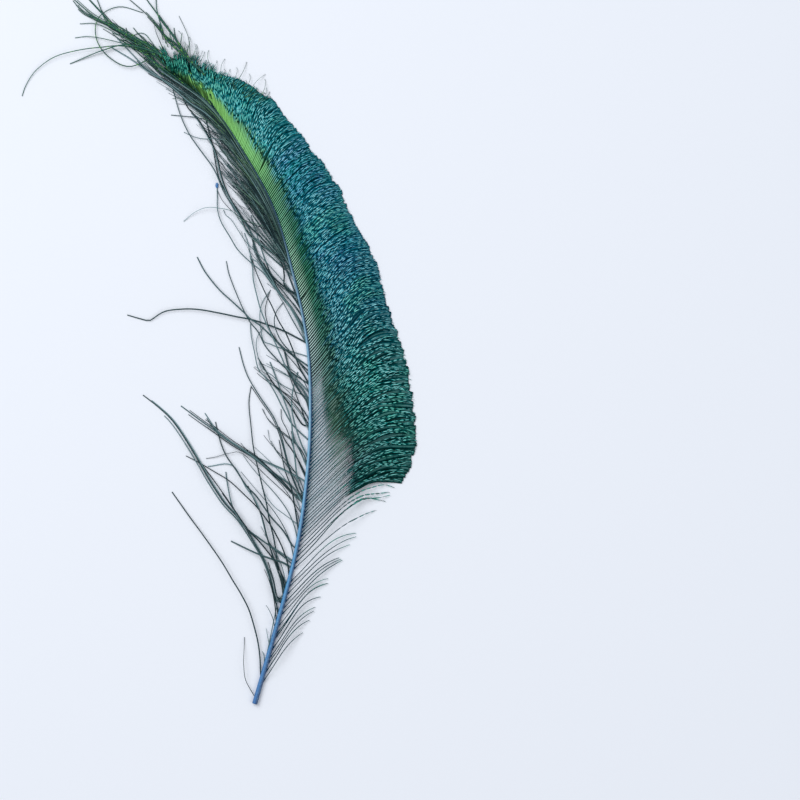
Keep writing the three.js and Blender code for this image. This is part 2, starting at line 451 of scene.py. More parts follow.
def softWave(t, size, rate, seed):
    # A smooth wander of about -size to size over t, the same for the same seed
    local = np.random.default_rng(seed)
    x = t * rate
    total = np.zeros_like(x, dtype=float)
    for k in range(1, waveLook["count"] + 1):
        swing = np.sin(x * k * local.uniform(*waveLook["uneven"]) + local.uniform(0, anyPhase))
        total += swing / k ** waveLook["fall"]
    return total / waveLook["scale"] * size


# The edge of the broad vane, by share of the shaft
broadEnds = [
    (0.02, 27.6, 38.3), (0.1, 42.6, 66.3), (0.16, 54.6, 83.8), (0.22, 68.6, 103.8), (0.26, 76.6, 114.8),
    (0.306, 80.6, 127.8), (0.365, 81.1, 144.3), (0.421, 77.6, 164.3), (0.48, 72.6, 182.8),
    (0.526, 67.1, 198.8), (0.598, 61.6, 217.8), (0.657, 55.6, 231.8), (0.705, 48.6, 244.8),
    (0.75, 41.6, 258.8), (0.8, 31.6, 274.3), (0.829, 22.6, 285.8), (0.877, 6.6, 303.8),
    (0.923, -14.4, 316.8), (0.952, -26.4, 326.8), (0.97, -36.4, 335.3), (0.985, -47.4, 341.3),
    (1, -66.4, 344.8),
]
# The other tables of the broad vane, also by share of the shaft
broadRows = {
    # how much further along the edge a barb ends than the share of the shaft that it starts at
    "advance": [
        (0.16, 0), (0.235, 0.005), (0.316, 0.02), (0.383, 0.027), (0.43, 0.032), (0.485, 0.038),
        (0.53, 0.046), (0.66, 0.054), (0.71, 0.05), (0.8, 0.042), (0.88, 0.04), (0.93, 0.03), (0.96, 0.014),
        (1, 0),
    ],
    # degrees by which it turns off the shaft, and the direction of its end
    "leave": [(0, 18), (0.2, 34), (0.42, 44), (0.66, 54), (0.8, 62), (0.92, 48), (1, 24)],
    "arrive": [
        (0, 30), (0.2, 6), (0.24, -8), (0.36, -10), (0.5, -6), (0.58, 0), (0.66, 6), (0.8, 16), (0.88, 30),
        (0.92, 52), (0.96, 88), (1, 140),
    ],
    # how straight it leaves, as a share of its length
    "straight": [(0.2, 0.4), (0.26, 0.56), (0.45, 0.54), (0.6, 0.42)],
    # how far barbs are from each other along the shaft
    "spacing": [
        (0, 4.4), (0.15, 3.9), (0.21, 3.0), (0.27, 2.0), (0.4, 1.9), (0.47, 1.65), (0.54, 1.4), (0.62, 1.25),
        (0.7, 1.12), (0.77, 1.0), (1, 0.9),
    ],
    # how far short of the edge they end
    "short": [(0.2, 6), (0.215, 3.5), (0.24, 0.9), (0.86, 0.8), (0.9, 2.5), (0.94, 8), (0.965, 13), (1, 19)],
    # how far from the shaft they start to twist, and how much that scatters
    "begin": [
        (0.2, 37), (0.316, 34.6), (0.35, 30), (0.383, 24.7), (0.43, 19.5), (0.485, 16), (0.55, 13),
        (0.63, 12), (0.7, 11), (0.78, 9.5), (0.85, 8.5), (0.9, 8), (0.95, 6), (1, 2),
    ],
    "beginScatter": [(0.6, 1.1), (0.7, 0.45)],
    # how wide they are before and after that, and how much wider at the root
    "inner": [
        (0, 0.48), (0.2, 0.46), (0.3, 0.42), (0.4, 0.46), (0.46, 0.58), (0.5, 0.58), (0.68, 0.54),
        (0.76, 0.62), (0.82, 1.1), (1, 0.9),
    ],
    "outer": [(0.2, 0.7), (0.3, 0.85), (0.5, 0.8), (0.6, 0.72), (0.9, 0.7), (1, 0.5)],
    "rootWiden": [(0.4, 0.9), (0.5, 0)],
    # how far the underside closes the vane just short of the twist
    "farFill": [(0.24, 0), (0.27, 0.14), (0.33, 0.22), (0.42, 1)],
    # how much of the way barbs go to the middle of their strand and of their row, and how far rows sway
    "rope": [(0.2, 0.4), (0.5, 0.45), (0.62, 0.2), (0.8, 0.1)],
    "row": [(0.2, 0.28), (0.5, 0.22), (0.6, 0.08), (0.85, 0.03), (1, 0.3)],
    "sway": [(0.5, 0.7), (0.62, 0.3)],
}

# Waves are (size, rate along the shaft, seed). From and Within pairs are (start, run).
broadLook = {
    "spots": 600,             # at which the number of barbs is counted
    "crowd": 1.0,             # how many times as many barbs as the spacing gives
    "uneven": 0.08,           # share of the spacing by which a barb may be off its place
    "stations": 100,
    "innerStations": 14,      # of them before the twist
    "innerRange": (0.02, 0.8),
    "low": 0.0,               # how far below the others it lies
    "lowWithin": 4,
    "short": 0.0,             # how much further short of the edge it ends
    "tipShort": 0.0,          # and near the tip of the feather
    "tipShortFrom": (0.86, 0.06),
    "ragged": 1.0,
    "raggedEven": 0.7,
    "raggedLower": 0.3,
    "raggedLowerFrom": (0.5, 0.1),
    "raggedShort": 0.22,
    "raggedRange": (-9, 0.8),
    "edgeWave": (0.8, 60, 3),
    "leaveScatter": 0.35,
    "arriveScatter": 7,
    "arriveWave": (9, 45, 5),
    "row": 8.2,               # length of shaft whose barbs gather in one row
    "rowWave": (0.35, 50, 21),
    "rope": 2.6,              # length of shaft whose barbs run together in one strand of that row
    "gather": 1.0,
    "stray": 1.0,             # how far barbs wander from their neighbours
    "looseRun": 18,
    "wander": 0.4,
    "wanderRate": 0.42,
    "swayRate": 0.2,
    "swayTurn": 230,
    "splitAt": 0.793,         # where two neighbours part, by how much and how far from the shaft
    "splitWidth": 0.62,
    "splitFade": 0.008,
    "splitReach": 25.0,
    "arch": 5.0,              # how high the vane stands above the table between shaft and edge
    "archPower": 1.3,
    "archEven": 0.8,
    "archWave": (0.2, 30, 8),
    "endHigh": 0.75,
    "highScatter": 0.35,
    "highRange": (0.4, 7.0),
    "beginShare": 0.8,
    "beginWave": (1.0, 70, 13),
    "late": 0.0,              # how much further out than the others it starts to widen
    "turnRun": (0.25, 3),     # share of the way to the twist, and length, in which it starts to turn
    "fill": 0.0,              # least width beside the shaft where the vane is closed
    "fillFrom": (0.46, 0.1),
    "fillFarFrom": (0.36, 0.6),
    "thinInner": 1.0,
    "thinLow": 1.0,           # the same in the lower half of the feather
    "halves": (0.42, 0.5),
    "rootRun": 1.4,
    "widen": 1.0,
    "taper": 0.7,
    "taperPower": 8,
    "wideScatter": (0.88, 1.12),
    "thickness": 0.2,
    "thicknessShare": 0.4,    # of the width, where a barb is thin
    "thicknessLeast": 0.02,
    "twisting": 1.0,
    "halfPitch": 3.8,         # length of one half turn of a twisted barb
    "pitchWave": (0.08, 80, 31),
    "pitchScatter": 0.03,
    "turnWave": (2.4, 110, 7),
    "turnScatter": 0.9,
    "turnSwing": 1.1,
    "swingRate": (0.2, 0.5),
    "faceUp": 0.42,           # how much longer it stays flat than on edge
    "restAngle": -14,
}
# the layer beneath the others, flat, wide and close: partly the vane's own fill of barbs, partly a dark
# sheet of painted shade in the gaps between the barbs above
underLook = {
    **broadLook, "crowd": 2.0, "uneven": 0.2, "stations": 40, "low": 0.9, "short": 0.2, "ragged": 0.5,
    "gather": 0.0, "twisting": 0.0, "widen": 3.6, "fill": 1.7, "thinInner": 0.05, "thinLow": 0.05,
    "taper": 0.2, "tipShort": 5.0, "stray": 0.2, "late": 2.5,
}
betweenLook = {**broadLook, "crowd": 1.6, "uneven": 0.3, "low": 0.25, "thinInner": 0.06, "thinLow": 0.2}
betweenLowLook = {**betweenLook, "crowd": 2.0, "gather": 0.25}
sparseLook = {
    **broadLook, "uneven": 0.3, "stations": 44, "short": 3.0, "twisting": 0.0, "widen": 0.75, "arch": 3.0,
    "gather": 0.0, "taper": 0.5,
}


def twistPlaces(beginAt, look):
    # Few stations along the straight part of each barb and the rest along its twisted part
    inner = look["innerStations"]
    part = np.clip(beginAt * look["beginShare"], *look["innerRange"])
    straight = np.linspace(0, 1, inner, endpoint=False)[None, :]
    twisted = np.linspace(0, 1, look["stations"] - inner)[None, :]
    return np.concatenate([part * straight, part + (1 - part) * twisted], axis=1)


def barbShares(low, high, look):
    # Shares of the shaft at which barbs start
    fine = np.linspace(low, high, look["spots"])
    crowd = look["crowd"] * shaftLength / betweenRows(fine, broadRows["spacing"])
    total = np.concatenate([[0], np.cumsum((crowd[1:] + crowd[:-1]) / 2 * np.diff(fine))])
    count = int(total[-1])
    place = np.arange(count) + 0.5 + rng.uniform(-look["uneven"], look["uneven"], count)
    return np.interp(place, total, fine), count


def barbTips(t, root, look):
    # neighbours gather into rows and strands towards their ends
    row = t * shaftLength / look["row"] + softWave(t, *look["rowWave"])
    rope = t * shaftLength / look["rope"]
    gather = 0
    for name, place in (("row", row), ("rope", rope)):
        off = (np.round(place) - place) * look[name] / shaftLength
        gather = gather + off * betweenRows(t, broadRows[name]) * look["gather"]
    tip = betweenRows(np.minimum(t + gather + betweenRows(t, broadRows["advance"]), 1), broadEnds)
    reach = tip - root
    size = np.linalg.norm(reach, axis=1)
    short = look["short"] + betweenRows(t, broadRows["short"])
    short = short + look["tipShort"] * rising(t, *look["tipShortFrom"])
    start, run = look["raggedLowerFrom"]
    lower = look["raggedLower"] * rising(start - t, 0, run)
    ragged = (look["raggedEven"] + lower + look["raggedShort"] * short) * look["ragged"]
    change = rng.normal(0, ragged, len(t)).clip(*look["raggedRange"]) - short
    change = change + softWave(t, *look["edgeWave"])
    return tip + reach / size[:, None] * change[:, None], size


def barbWander(t, away, loose, phase, look):
    # how far a barb is off its even curve
    part = t - look["splitAt"]
    parted = look["splitWidth"] * np.sign(part) * np.exp(-np.abs(part) / look["splitFade"])
    sway = betweenRows(t, broadRows["sway"])[:, None]
    wander = loose * look["stray"] * look["wander"] * np.sin(away * look["wanderRate"] + phase)
    wander = wander + loose * sway * np.sin(away * look["swayRate"] + (t * look["swayTurn"])[:, None])
    return wander + parted[:, None] * np.sin(math.pi * np.clip(away / look["splitReach"], 0, 1))


def barbHeights(t, away, share, loose, look):
    # up from the shaft and down to the table
    uneven = look["archEven"] + softWave(t, *look["archWave"])
    lift = look["arch"] * np.sin(math.pi * share) ** look["archPower"] * uneven[:, None]
    height = shaftHalfHeight(t)[:, None] * (1 - share) + look["endHigh"] * share + lift
    height = height + loose * rng.normal(0, look["highScatter"], len(t))[:, None]
    return np.clip(height - look["low"] * rising(away, 0, look["lowWithin"]), *look["highRange"])


def barbWidths(t, away, begin, share, turned, look):
    closed = rising(t, *look["fillFrom"])[:, None] * look["fill"]
    farFill = betweenRows(t, broadRows["farFill"])[:, None]
    closedFar = rising(away / begin, *look["fillFarFrom"]) * farFill * look["fill"]
    closed = np.maximum(closed, closedFar)
    lower, upper = look["halves"]
    thin = betweenRows(t, [(lower, look["thinLow"]), (upper, look["thinInner"])])
    inner = np.maximum((betweenRows(t, broadRows["inner"]) * thin)[:, None], closed)
    inner = inner * (1 + betweenRows(t, broadRows["rootWiden"])[:, None] * np.exp(-away / look["rootRun"]))
    outer = betweenRows(t, broadRows["outer"])[:, None] * look["widen"]
    wide = inner * (1 - turned) + outer * turned
    wide = wide * (1 - look["taper"] * share ** look["taperPower"])
    return wide * rng.uniform(*look["wideScatter"], len(t))[:, None]


def barbTwist(t, away, onset, turned, phase, look):
    # neighbours turn nearly together, so their flat sides, which carry the painted highlight, line up
    count = len(t)
    pitch = 1 + softWave(t, *look["pitchWave"]) + rng.normal(0, look["pitchScatter"], count)
    turn = math.pi * np.maximum(away - onset, 0) / (look["halfPitch"] * pitch[:, None])
    ahead = softWave(t, *look["turnWave"]) + rng.normal(0, look["turnScatter"], count)
    turn = turn + turned * ahead[:, None]
    swing = away * rng.uniform(*look["swingRate"], count)[:, None] + 2 * phase
    turn = turn + turned * look["turnSwing"] * np.sin(swing)
    turn = turn - look["faceUp"] * np.sin(2 * turn)
    return np.radians(look["restAngle"]) * (1 - turned) + look["twisting"] * turn


def broadBarbs(name, low, high, look):
    t, count = barbShares(low, high, look)
    root = rootSpots(t, -1)
    tip, size = barbTips(t, root, look)
    leave = betweenRows(t, broadRows["leave"]) + rng.normal(0, look["leaveScatter"], count)
    leave = shaftHeading(t) - np.radians(leave)
    scatter = rng.normal(0, look["arriveScatter"], count) * look["stray"] + softWave(t, *look["arriveWave"])
    arrive = np.radians(betweenRows(t, broadRows["arrive"]) + scatter)
    begin = betweenRows(t, broadRows["begin"])[:, None]
    places = twistPlaces(begin / size[:, None], look)
    flat = bezierRoutes(root, leave, tip, arrive, places, betweenRows(t, broadRows["straight"])[:, None])
    away = distanceAlong(flat)
    share = away / away[:, -1:]
    loose = rising(away, begin, look["looseRun"])
    phase = rng.uniform(0, anyPhase, count)[:, None]
    across = np.gradient(flat, axis=1)
    across /= np.maximum(np.linalg.norm(across, axis=2, keepdims=True), tiny)
    sideways = np.stack([-across[..., 1], across[..., 0]], axis=-1)
    flat = flat + sideways * barbWander(t, away, loose, phase, look)[..., None]
    height = barbHeights(t, away, share, loose, look)
    centre = np.concatenate([flat, height[..., None]], axis=2)
    scatter = rng.normal(0, 1, count) * betweenRows(t, broadRows["beginScatter"])
    onset = begin * look["beginShare"] + (scatter + softWave(t, *look["beginWave"]) + look["late"])[:, None]
    turnShare, turnLength = look["turnRun"]
    turned = eased(rising(away, onset, begin * turnShare + turnLength))
    wide = barbWidths(t, away, begin, share, turned, look)
    twist = barbTwist(t, away, onset, turned, phase, look)
    thick = np.minimum(look["thickness"], look["thicknessShare"] * wide + look["thicknessLeast"])
    ones = np.ones_like(wide)
    marks = {
        "along": t[:, None] * ones,
        "reach": away / begin,
        "tone": rng.uniform(0, 1, count)[:, None] * ones,
        "turned": turned,
    }
    return ribbonMesh(name, centre, wide, thick, twist, marks)


# Colours by share of the shaft. body is the herl's own colour, deep a darker one that also serves as painted
# shade, glint the painted highlight, and innerLight and innerDark lit and shaded copies of the colour beside
# the shaft
herlColours = {
    "innerLight": [
        (0.22, (0.02, 0.08, 0.1)), (0.42, (0.02, 0.12, 0.16)), (0.48, (0.44, 0.64, 0.64)),
        (0.54, (0.72, 0.98, 0.94)), (0.63, (0.58, 0.96, 0.72)), (0.72, (0.3, 0.76, 0.48)),
        (0.8, (0.3, 0.72, 0.28)), (0.93, (0.34, 0.77, 0.2)), (0.98, (0.03, 0.15, 0.09)),
    ],
    "innerDark": [
        (0.22, (0.003, 0.012, 0.02)), (0.46, (0.002, 0.024, 0.034)), (0.56, (0.004, 0.04, 0.036)),
        (0.66, (0.004, 0.055, 0.034)), (0.75, (0.012, 0.11, 0.045)), (0.82, (0.14, 0.4, 0.11)),
        (0.93, (0.2, 0.48, 0.1)), (0.975, (0.01, 0.06, 0.04)),
    ],
    "deep": [
        (0.22, (0.001, 0.034, 0.032)), (0.42, (0.001, 0.05, 0.056)), (0.5, (0.001, 0.07, 0.11)),
        (0.6, (0.001, 0.092, 0.145)), (0.88, (0.001, 0.115, 0.135)), (0.97, (0.003, 0.06, 0.054)),
    ],
    "body": [
        (0.22, (0.008, 0.31, 0.28)), (0.42, (0.006, 0.32, 0.32)), (0.5, (0.003, 0.25, 0.35)),
        (0.6, (0.003, 0.285, 0.405)), (0.88, (0.006, 0.36, 0.4)), (0.97, (0.02, 0.19, 0.16)),
    ],
    "glint": [
        (0.22, (0.5, 1.0, 0.92)), (0.42, (0.52, 1.0, 0.98)), (0.55, (0.5, 0.98, 1.0)),
        (0.8, (0.48, 1.0, 1.0)), (0.9, (0.4, 0.96, 0.88)), (0.97, (0.14, 0.56, 0.42)),
    ],
}
herlNoise = {"cloud": (90, 3), "patch": (36, 2), "fleck": (560, 1)}
upperHalf = ("along", 0.4, 0.54)
lowerHalf = ("along", 0.54, 0.4)
# Where each layer is: how much of it there is at most, then its zones. Along is the share of the shaft,
# reach the share of the way to the twist, face how flat the barb lies, and tone its own shade.
herlParts = {
    "ridge": (1, ("face", 0.42, 0.88)),
    "root": (0.85, ("reach", 0.1, 0.02), ("along", 0.55, 0.42)),
    "haze": (1, ("along", 0.5, 0.42)),
    "tip": (0.9, ("along", 0.91, 0.97), ("reach", 0.8, 0.45)),
    "meshFlat": (1, ("face", 0.4, 0.9)),
    "meshPale": (1, ("cloud", 0.42, 0.6)),
    "mesh": (0.9, ("reach", 0.34, 0.75), ("along", 0.25, 0.36), lowerHalf),
    "greenFlat": (1, ("face", 0.45, 0.95)),
    "pureGreen": (1, ("along", 0.5, 0.62), ("along", 0.76, 0.67)),
    "farGreen": (0.6, ("reach", 0.7, 1.1), ("along", 0.24, 0.4), lowerHalf),
    "nearGreen": (1, ("reach", 0.16, 0.7), upperHalf, ("along", 0.8, 0.67)),
    "highGreen": (0.6, ("reach", 0.4, 1.0), ("along", 0.67, 0.8), ("along", 0.92, 0.84)),
    "bluer": (1, ("patch", 0.46, 0.6), ("along", 0.4, 0.5), ("along", 0.86, 0.78)),
    "blue": (0.85, ("tone", 0.2, 0.8)),
    "teal": (0.6, ("cloud", 0.48, 0.66)),
    "fleck": (0.7, ("fleck", 0.4, 0.7)),
    "flat": (1, ("face", 0.15, 0.6)),
    "cast": (0.5, ("cloud", 0.4, 0.62)),
    "openFar": (1, ("reach", 0.9, 1.8)),
    "openHigh": (1, ("along", 0.66, 0.76)),
    "flash": (1, ("face", 0.68, 0.94), ("fleck", 0.74, 0.47)),
    "earlier": (0.1, ("along", 0.7, 0.85)),
    "below": (1, lowerHalf, ("along", 0.3, 0.36)),
    "belowGreen": (1, ("reach", 0.6, 0.95), upperHalf),
    "belowShadow": (0.7, ("reach", 0.85, 0.55), upperHalf),
}
herlTints = {
    "root": (0.005, 0.055, 0.125),
    "haze": (0.2, 0.5, 0.56),
    "tip": (0.012, 0.07, 0.03),
    "meshDark": (0.005, 0.042, 0.034),
    "meshes": ((0.14, 0.34, 0.22), (0.3, 0.46, 0.38)),
    "deepGreen": (0.002, 0.04, 0.034),
    "greens": ((0.1, 0.4, 0.3), (0.24, 0.58, 0.44)),
    "pureGreens": ((0.03, 0.26, 0.15), (0.12, 0.48, 0.27)),
    "blue": (0.01, 0.13, 0.34),
    "teal": (0.012, 0.32, 0.25),
    "casts": ((0.2, 0.85, 0.55), (0.16, 0.62, 0.9)),
    "below": (0.03, 0.09, 0.055),
    "belowGreen": (0.003, 0.09, 0.06),
    "belowShadow": (0.001, 0.02, 0.014),
}
herlShares = {
    "blueCast": 0.3,
    "flashTone": (0.62, 0.38),
    "flashOpen": (0.54, 0.5),
    "dull": 0.6,
    "changeCloud": 1.0,
    "changeTone": 0.6,
    "change": (0.64, 1.26),
}
herlSurface = {"Roughness": 0.4, "Metallic": 0.15, "Specular_IOR_Level": 0.02}


def herlFinish(name, shade, haze):
    # shade: how much painted shade darkens the barbs, for the layer that lies under the others. haze: how
    # pale beside the lower shaft
    look = Finish(name, "along", "reach", "tone", "face", "turned", **herlNoise)
    along, reach, tone, cloud = (look.reads[key] for key in ("along", "reach", "tone", "cloud"))
    light, dark, deep, body, glint = (look.ramp(along, stops) for stops in herlColours.values())
    part = {key: look.part(*layer) for key, layer in herlParts.items()}
    part["haze"] = part["haze"] * haze
    tints, shares = herlTints, herlShares

    def over(base, key):
        return look.mix(part[key], base, tints[key])

    # beside the shaft: pale ridges on darker green, as painted highlight where a barb lies flat and painted
    # shade on its edges, and near the tip only a streak of them
    ridge = over(over(over(look.mix(part["ridge"], dark, light), "root"), "haze"), "tip")
    # an olive mesh between the open barbs and the twisted ones, with painted highlight where a barb lies
    # flat and painted shade on its edges
    meshLight = look.mix(part["meshPale"], *tints["meshes"])
    ridge = look.mix(part["mesh"], ridge, look.mix(part["meshFlat"], tints["meshDark"], meshLight))
    # greener with distance, with painted highlight where a barb lies flat and painted shade where it stands
    # on edge
    greens = look.mix(part["pureGreen"], *(look.mix(tone, *tints[key]) for key in ("greens", "pureGreens")))
    greens = look.mix(part["greenFlat"], tints["deepGreen"], greens)
    green = look.mix(part["farGreen"] + part["nearGreen"] + part["highGreen"], ridge, greens)
    # further out: the herl's own teal and blue with darker specks where a barb lies flat, and painted shade
    # where it stands on edge
    teal = over(look.mix(part["bluer"] * part["blue"], body, tints["blue"]), "teal")
    herl = look.mix(part["flat"], deep, look.mix(part["fleck"], teal, deep))
    # painted highlight colour: whitish glints, tinted green or blue in places
    castShare = part["cast"] + part["bluer"] * shares["blueCast"]
    cast = look.mix(castShare, glint, look.mix(part["bluer"], *tints["casts"]))
    # painted highlights where a barb lies flat, broken up by fine noise, and less bright just where the
    # twist begins
    opened = (part["openFar"] + part["openHigh"]).clamp()
    leastTone, byTone = shares["flashTone"]
    leastOpen, byOpen = shares["flashOpen"]
    flash = part["flash"] * (leastTone + tone * byTone) * (leastOpen + opened * byOpen)
    bright = look.mix(flash, look.mix((1 - opened) * shares["dull"], herl, deep), cast)
    change = reach + (cloud - 0.5) * shares["changeCloud"] + (tone - 0.5) * shares["changeTone"]
    above = look.mix((change - part["earlier"]).span(*shares["change"]), green, bright)
    # the layer beneath: its own darker greens, with painted shadow near the shaft in the upper half, seen
    # where the barbs above part
    below = over(over(over(dark, "below"), "belowGreen"), "belowShadow")
    shaded = look.mix(look.reads["turned"], below, deep)
    # painted shade: the layer beneath is darkened by the shade share
    look.set(Base_Color=look.mix(shade, above, shaded), **herlSurface)
    return look


herl = herlFinish("herlDyedWithPaintedLight", 0.0, 0.0)
hazeHerl = herlFinish("herlDyedWithPaintedLightBetween", 0.0, 0.9)
underHerl = herlFinish("herlDyedWithPaintedShadeBelow", 0.85, 0.0)
broadPieces = [
    ("broad_barbs_lowest", 0.03, 0.2, sparseLook, herl),
    ("broad_barbs_lower", 0.2, 0.6, broadLook, herl),
    ("broad_barbs_upper", 0.6, 0.998, broadLook, herl),
    ("broad_between_lower", 0.25, 0.6, betweenLowLook, hazeHerl),
    ("broad_between_upper", 0.6, 0.99, betweenLook, herl),
    ("broad_underside", 0.24, 0.985, underLook, underHerl),
]
for name, low, high, look, finish in broadPieces:
    finishPiece(broadBarbs(name, low, high, look), finish, "broad_vane")

# The edge of the narrow vane, by share of the shaft
narrowEnds = [
    (0.03, -3.9, 39.3), (0.1, -8.4, 71.8), (0.16, -13.4, 106.8), (0.22, -20.4, 136.8),
    (0.28, -18.4, 147.8), (0.34, -5.9, 151.8), (0.4, -7.4, 177.8), (0.46, -9.4, 201.8),
    (0.52, -13.4, 220.8), (0.58, -9.4, 239.3), (0.64, -16.4, 256.8), (0.7, -24.4, 272.8),
    (0.75, -29.4, 282.8), (0.8, -34.4, 291.8), (0.85, -37.4, 301.8), (0.9, -47.4, 311.8),
    (0.95, -64.9, 320.8),
]
# Share of the shaft, then how far to its left the long upper barbs lie
veilWidth = [(0.5, 6), (0.6, 13), (0.7, 17), (0.8, 16), (0.88, 12.5), (0.95, 9), (1.0, 7), (1.1, 5)]
veilLook = {
    "count": 142,
    "low": 0.635,
    "high": 0.9,
    "run": (0.07, 0.22),      # share of the shaft that a barb follows
    "spread": (0.05, 1.0),    # share of the veil's width that it reaches
    "bend": (0.55, 0.9),
    "wander": 1.2,
    "wanderRate": (0.6, 1.6),
    "least": 0.2,             # distance from the shaft's side, which it starts inside of by a share
    "inset": 0.5,
    "pastTurn": 0.12,         # radians by which it turns right past the end of the shaft
}
veilFootLook = {
    **veilLook, "count": 62, "low": 0.65, "high": 0.73, "run": (0.07, 0.15), "spread": (0.4, 1.05),
    "bend": (0.55, 0.8),
}
# Barbs in small clumps. Pairs of scatters are for each clump and for each of its barbs.
clumpLook = {
    "count": 24,
    "low": 0.05,
    "high": 0.62,
    "size": 3,
    "endShift": (0.02, 0.004),
    "shorten": (0.3, 0.85),
    "shortenEach": (0.9, 1.05),
    "scatter": (3.0, 0.8),
    "turn": 20,
    "leaveScatter": (8, 2),
    "arriveScatter": (20, 5),
}
clumpHighLook = {
    **clumpLook, "low": 0.55, "high": 0.9, "shorten": (0.4, 0.9), "scatter": (2.0, 0.8), "turn": 15,
}
strandLook = {
    "count": 1,
    "hand": 1,                # on the left of the shaft
    "apart": 0.004,           # share of the shaft between its barbs, and by how much that scatters
    "apartScatter": 0.0015,
    "spread": 0.7,            # how far they lie side by side
    "spreadEach": (0.6, 1.4),
    "spreadStart": 0.2,
    "drift": 0.2,
    "spots": 240,
    "shorten": (0.72, 0.98),
    "width": 0.75,
    "others": 0.75,           # how wide the others are beside the first
    "widthEach": (0.85, 1.1),
}
looseLook = {"endHigh": 0.3, "archPower": 1.4, "twist": 0.9, "thickness": 0.3}


def besideShaft(t, distance):
    # A spot to the left of the shaft, also past its end
    onward = headed(shaftHeading(np.ones_like(t)) - veilLook["pastTurn"])
    past = np.maximum(t - 1, 0)[..., None] * shaftLength * onward
    inside = np.minimum(t, 1)
    return shaftSpot(inside) + past + headed(shaftHeading(inside) + math.pi / 2) * distance[..., None]


def veilBarbs(stations, look):
    # Long fine barbs that run up beside the shaft
    count = look["count"]
    t = np.sort(rng.uniform(look["low"], look["high"], count))
    run = rng.uniform(*look["run"], count)
    spread = rng.uniform(*look["spread"], count)
    v = np.linspace(0, 1, stations)[None, :]
    place = t[:, None] + run[:, None] * v
    bend = rng.uniform(*look["bend"], count)[:, None]
    outward = spread[:, None] * betweenRows(t + run, veilWidth)[:, None] * v ** bend
    wander = rng.normal(0, look["wander"], count)[:, None]
    rate = rng.uniform(*look["wanderRate"], count)[:, None]
    outward = outward + (wander * np.sin(math.pi * v * rate)) * v
    inset = shaftHalfWidth(place.clip(0, 1)) * look["inset"]
    return besideShaft(place, np.maximum(outward, look["least"]) + inset), t


def strandRoutes(strands, stations):
    # Each strand is a few barbs side by side along given points, spreading a little towards their ends
    barbs = []
    for start, given, points in strands:
        look = {**strandLook, **given}
        points = np.array(points, float)
        straight = points[-1] - points[0]
        sideways = np.array([-straight[1], straight[0]]) / np.linalg.norm(straight)
        spreading = np.linspace(look["spreadStart"], 1, len(points))[:, None]
        for k in range(look["count"]):
            t = start + look["apart"] * k + rng.normal(0, look["apartScatter"])
            place = (k + 1) // 2 * (1 if k % 2 else -1) * look["spread"] * rng.uniform(*look["spreadEach"])
            drift = spreading * (sideways * place + rng.normal(0, look["drift"], 2))
            # the first barb keeps to the points and runs to their end
            through = points + drift if k else points
            cut = rng.uniform(*look["shorten"]) if k else 1.0
            route = smoothRoute(np.vstack([rootSpots(t, look["hand"]), through]), look["spots"])
            away = distanceAlong(route[None])[0]
            even = np.linspace(0, away[-1] * cut, stations)
            flat = np.stack([np.interp(even, away, route[:, c]) for c in (0, 1)], axis=-1)
            wide = look["width"] * (look["others"] if k else 1) * rng.uniform(*look["widthEach"])
            barbs.append((flat, t, wide, look.get("tone", rng.uniform(0, 1))))
    return [np.array(column) for column in zip(*barbs)]


def looseMesh(name, flat, t, wide, lift, tone, taper):
    # Thin barbs along flat routes that rise from the shaft by lift and come down again
    away = distanceAlong(flat)
    share = away / away[:, -1:]
    ones = np.ones_like(share)
    high = shaftHalfHeight(t)[:, None] * (1 - share) + looseLook["endHigh"] * share
    high = high + lift[:, None] * np.sin(math.pi * share) ** looseLook["archPower"]
    centre = np.concatenate([flat, high[..., None]], axis=2)
    width = wide[:, None] * (1 - taper[:, None] * share ** 2)
    twist = rng.uniform(-1, 1, len(t))[:, None] * share * looseLook["twist"]
    marks = {"along": t[:, None] * ones, "away": away, "tone": tone[:, None] * ones, "turned": share}
    return ribbonMesh(name, centre, width, looseLook["thickness"] * ones, twist, marks)


def clumpBarbs(stations, look):
    # Barbs of the narrow vane in small clumps that cross each other
    count = look["count"]
    t = np.sort(rng.uniform(look["low"], look["high"], count))
    clump = np.arange(count) // look["size"]
    clumps = clump[-1] + 1
    root = rootSpots(t, 1)

    def scatter(key, middle=0, axes=()):
        wide, fine = look[key]
        return rng.normal(middle, wide, (clumps, *axes))[clump] + rng.normal(0, fine, (count, *axes))

    tip = betweenRows(t + scatter("endShift"), narrowEnds)
    share = rng.uniform(*look["shorten"], clumps)[clump] * rng.uniform(*look["shortenEach"], count)
    tip = root + (tip - root) * share[:, None] + scatter("scatter", axes=(2,))
    leave = shaftHeading(t) + np.radians(scatter("leaveScatter", look["turn"]))
    arrive = np.arctan2(*(tip - root).T[::-1]) + np.radians(scatter("arriveScatter"))
    places = np.linspace(0, 1, stations)[None, :]
    return bezierRoutes(root, leave, tip, arrive, places), t


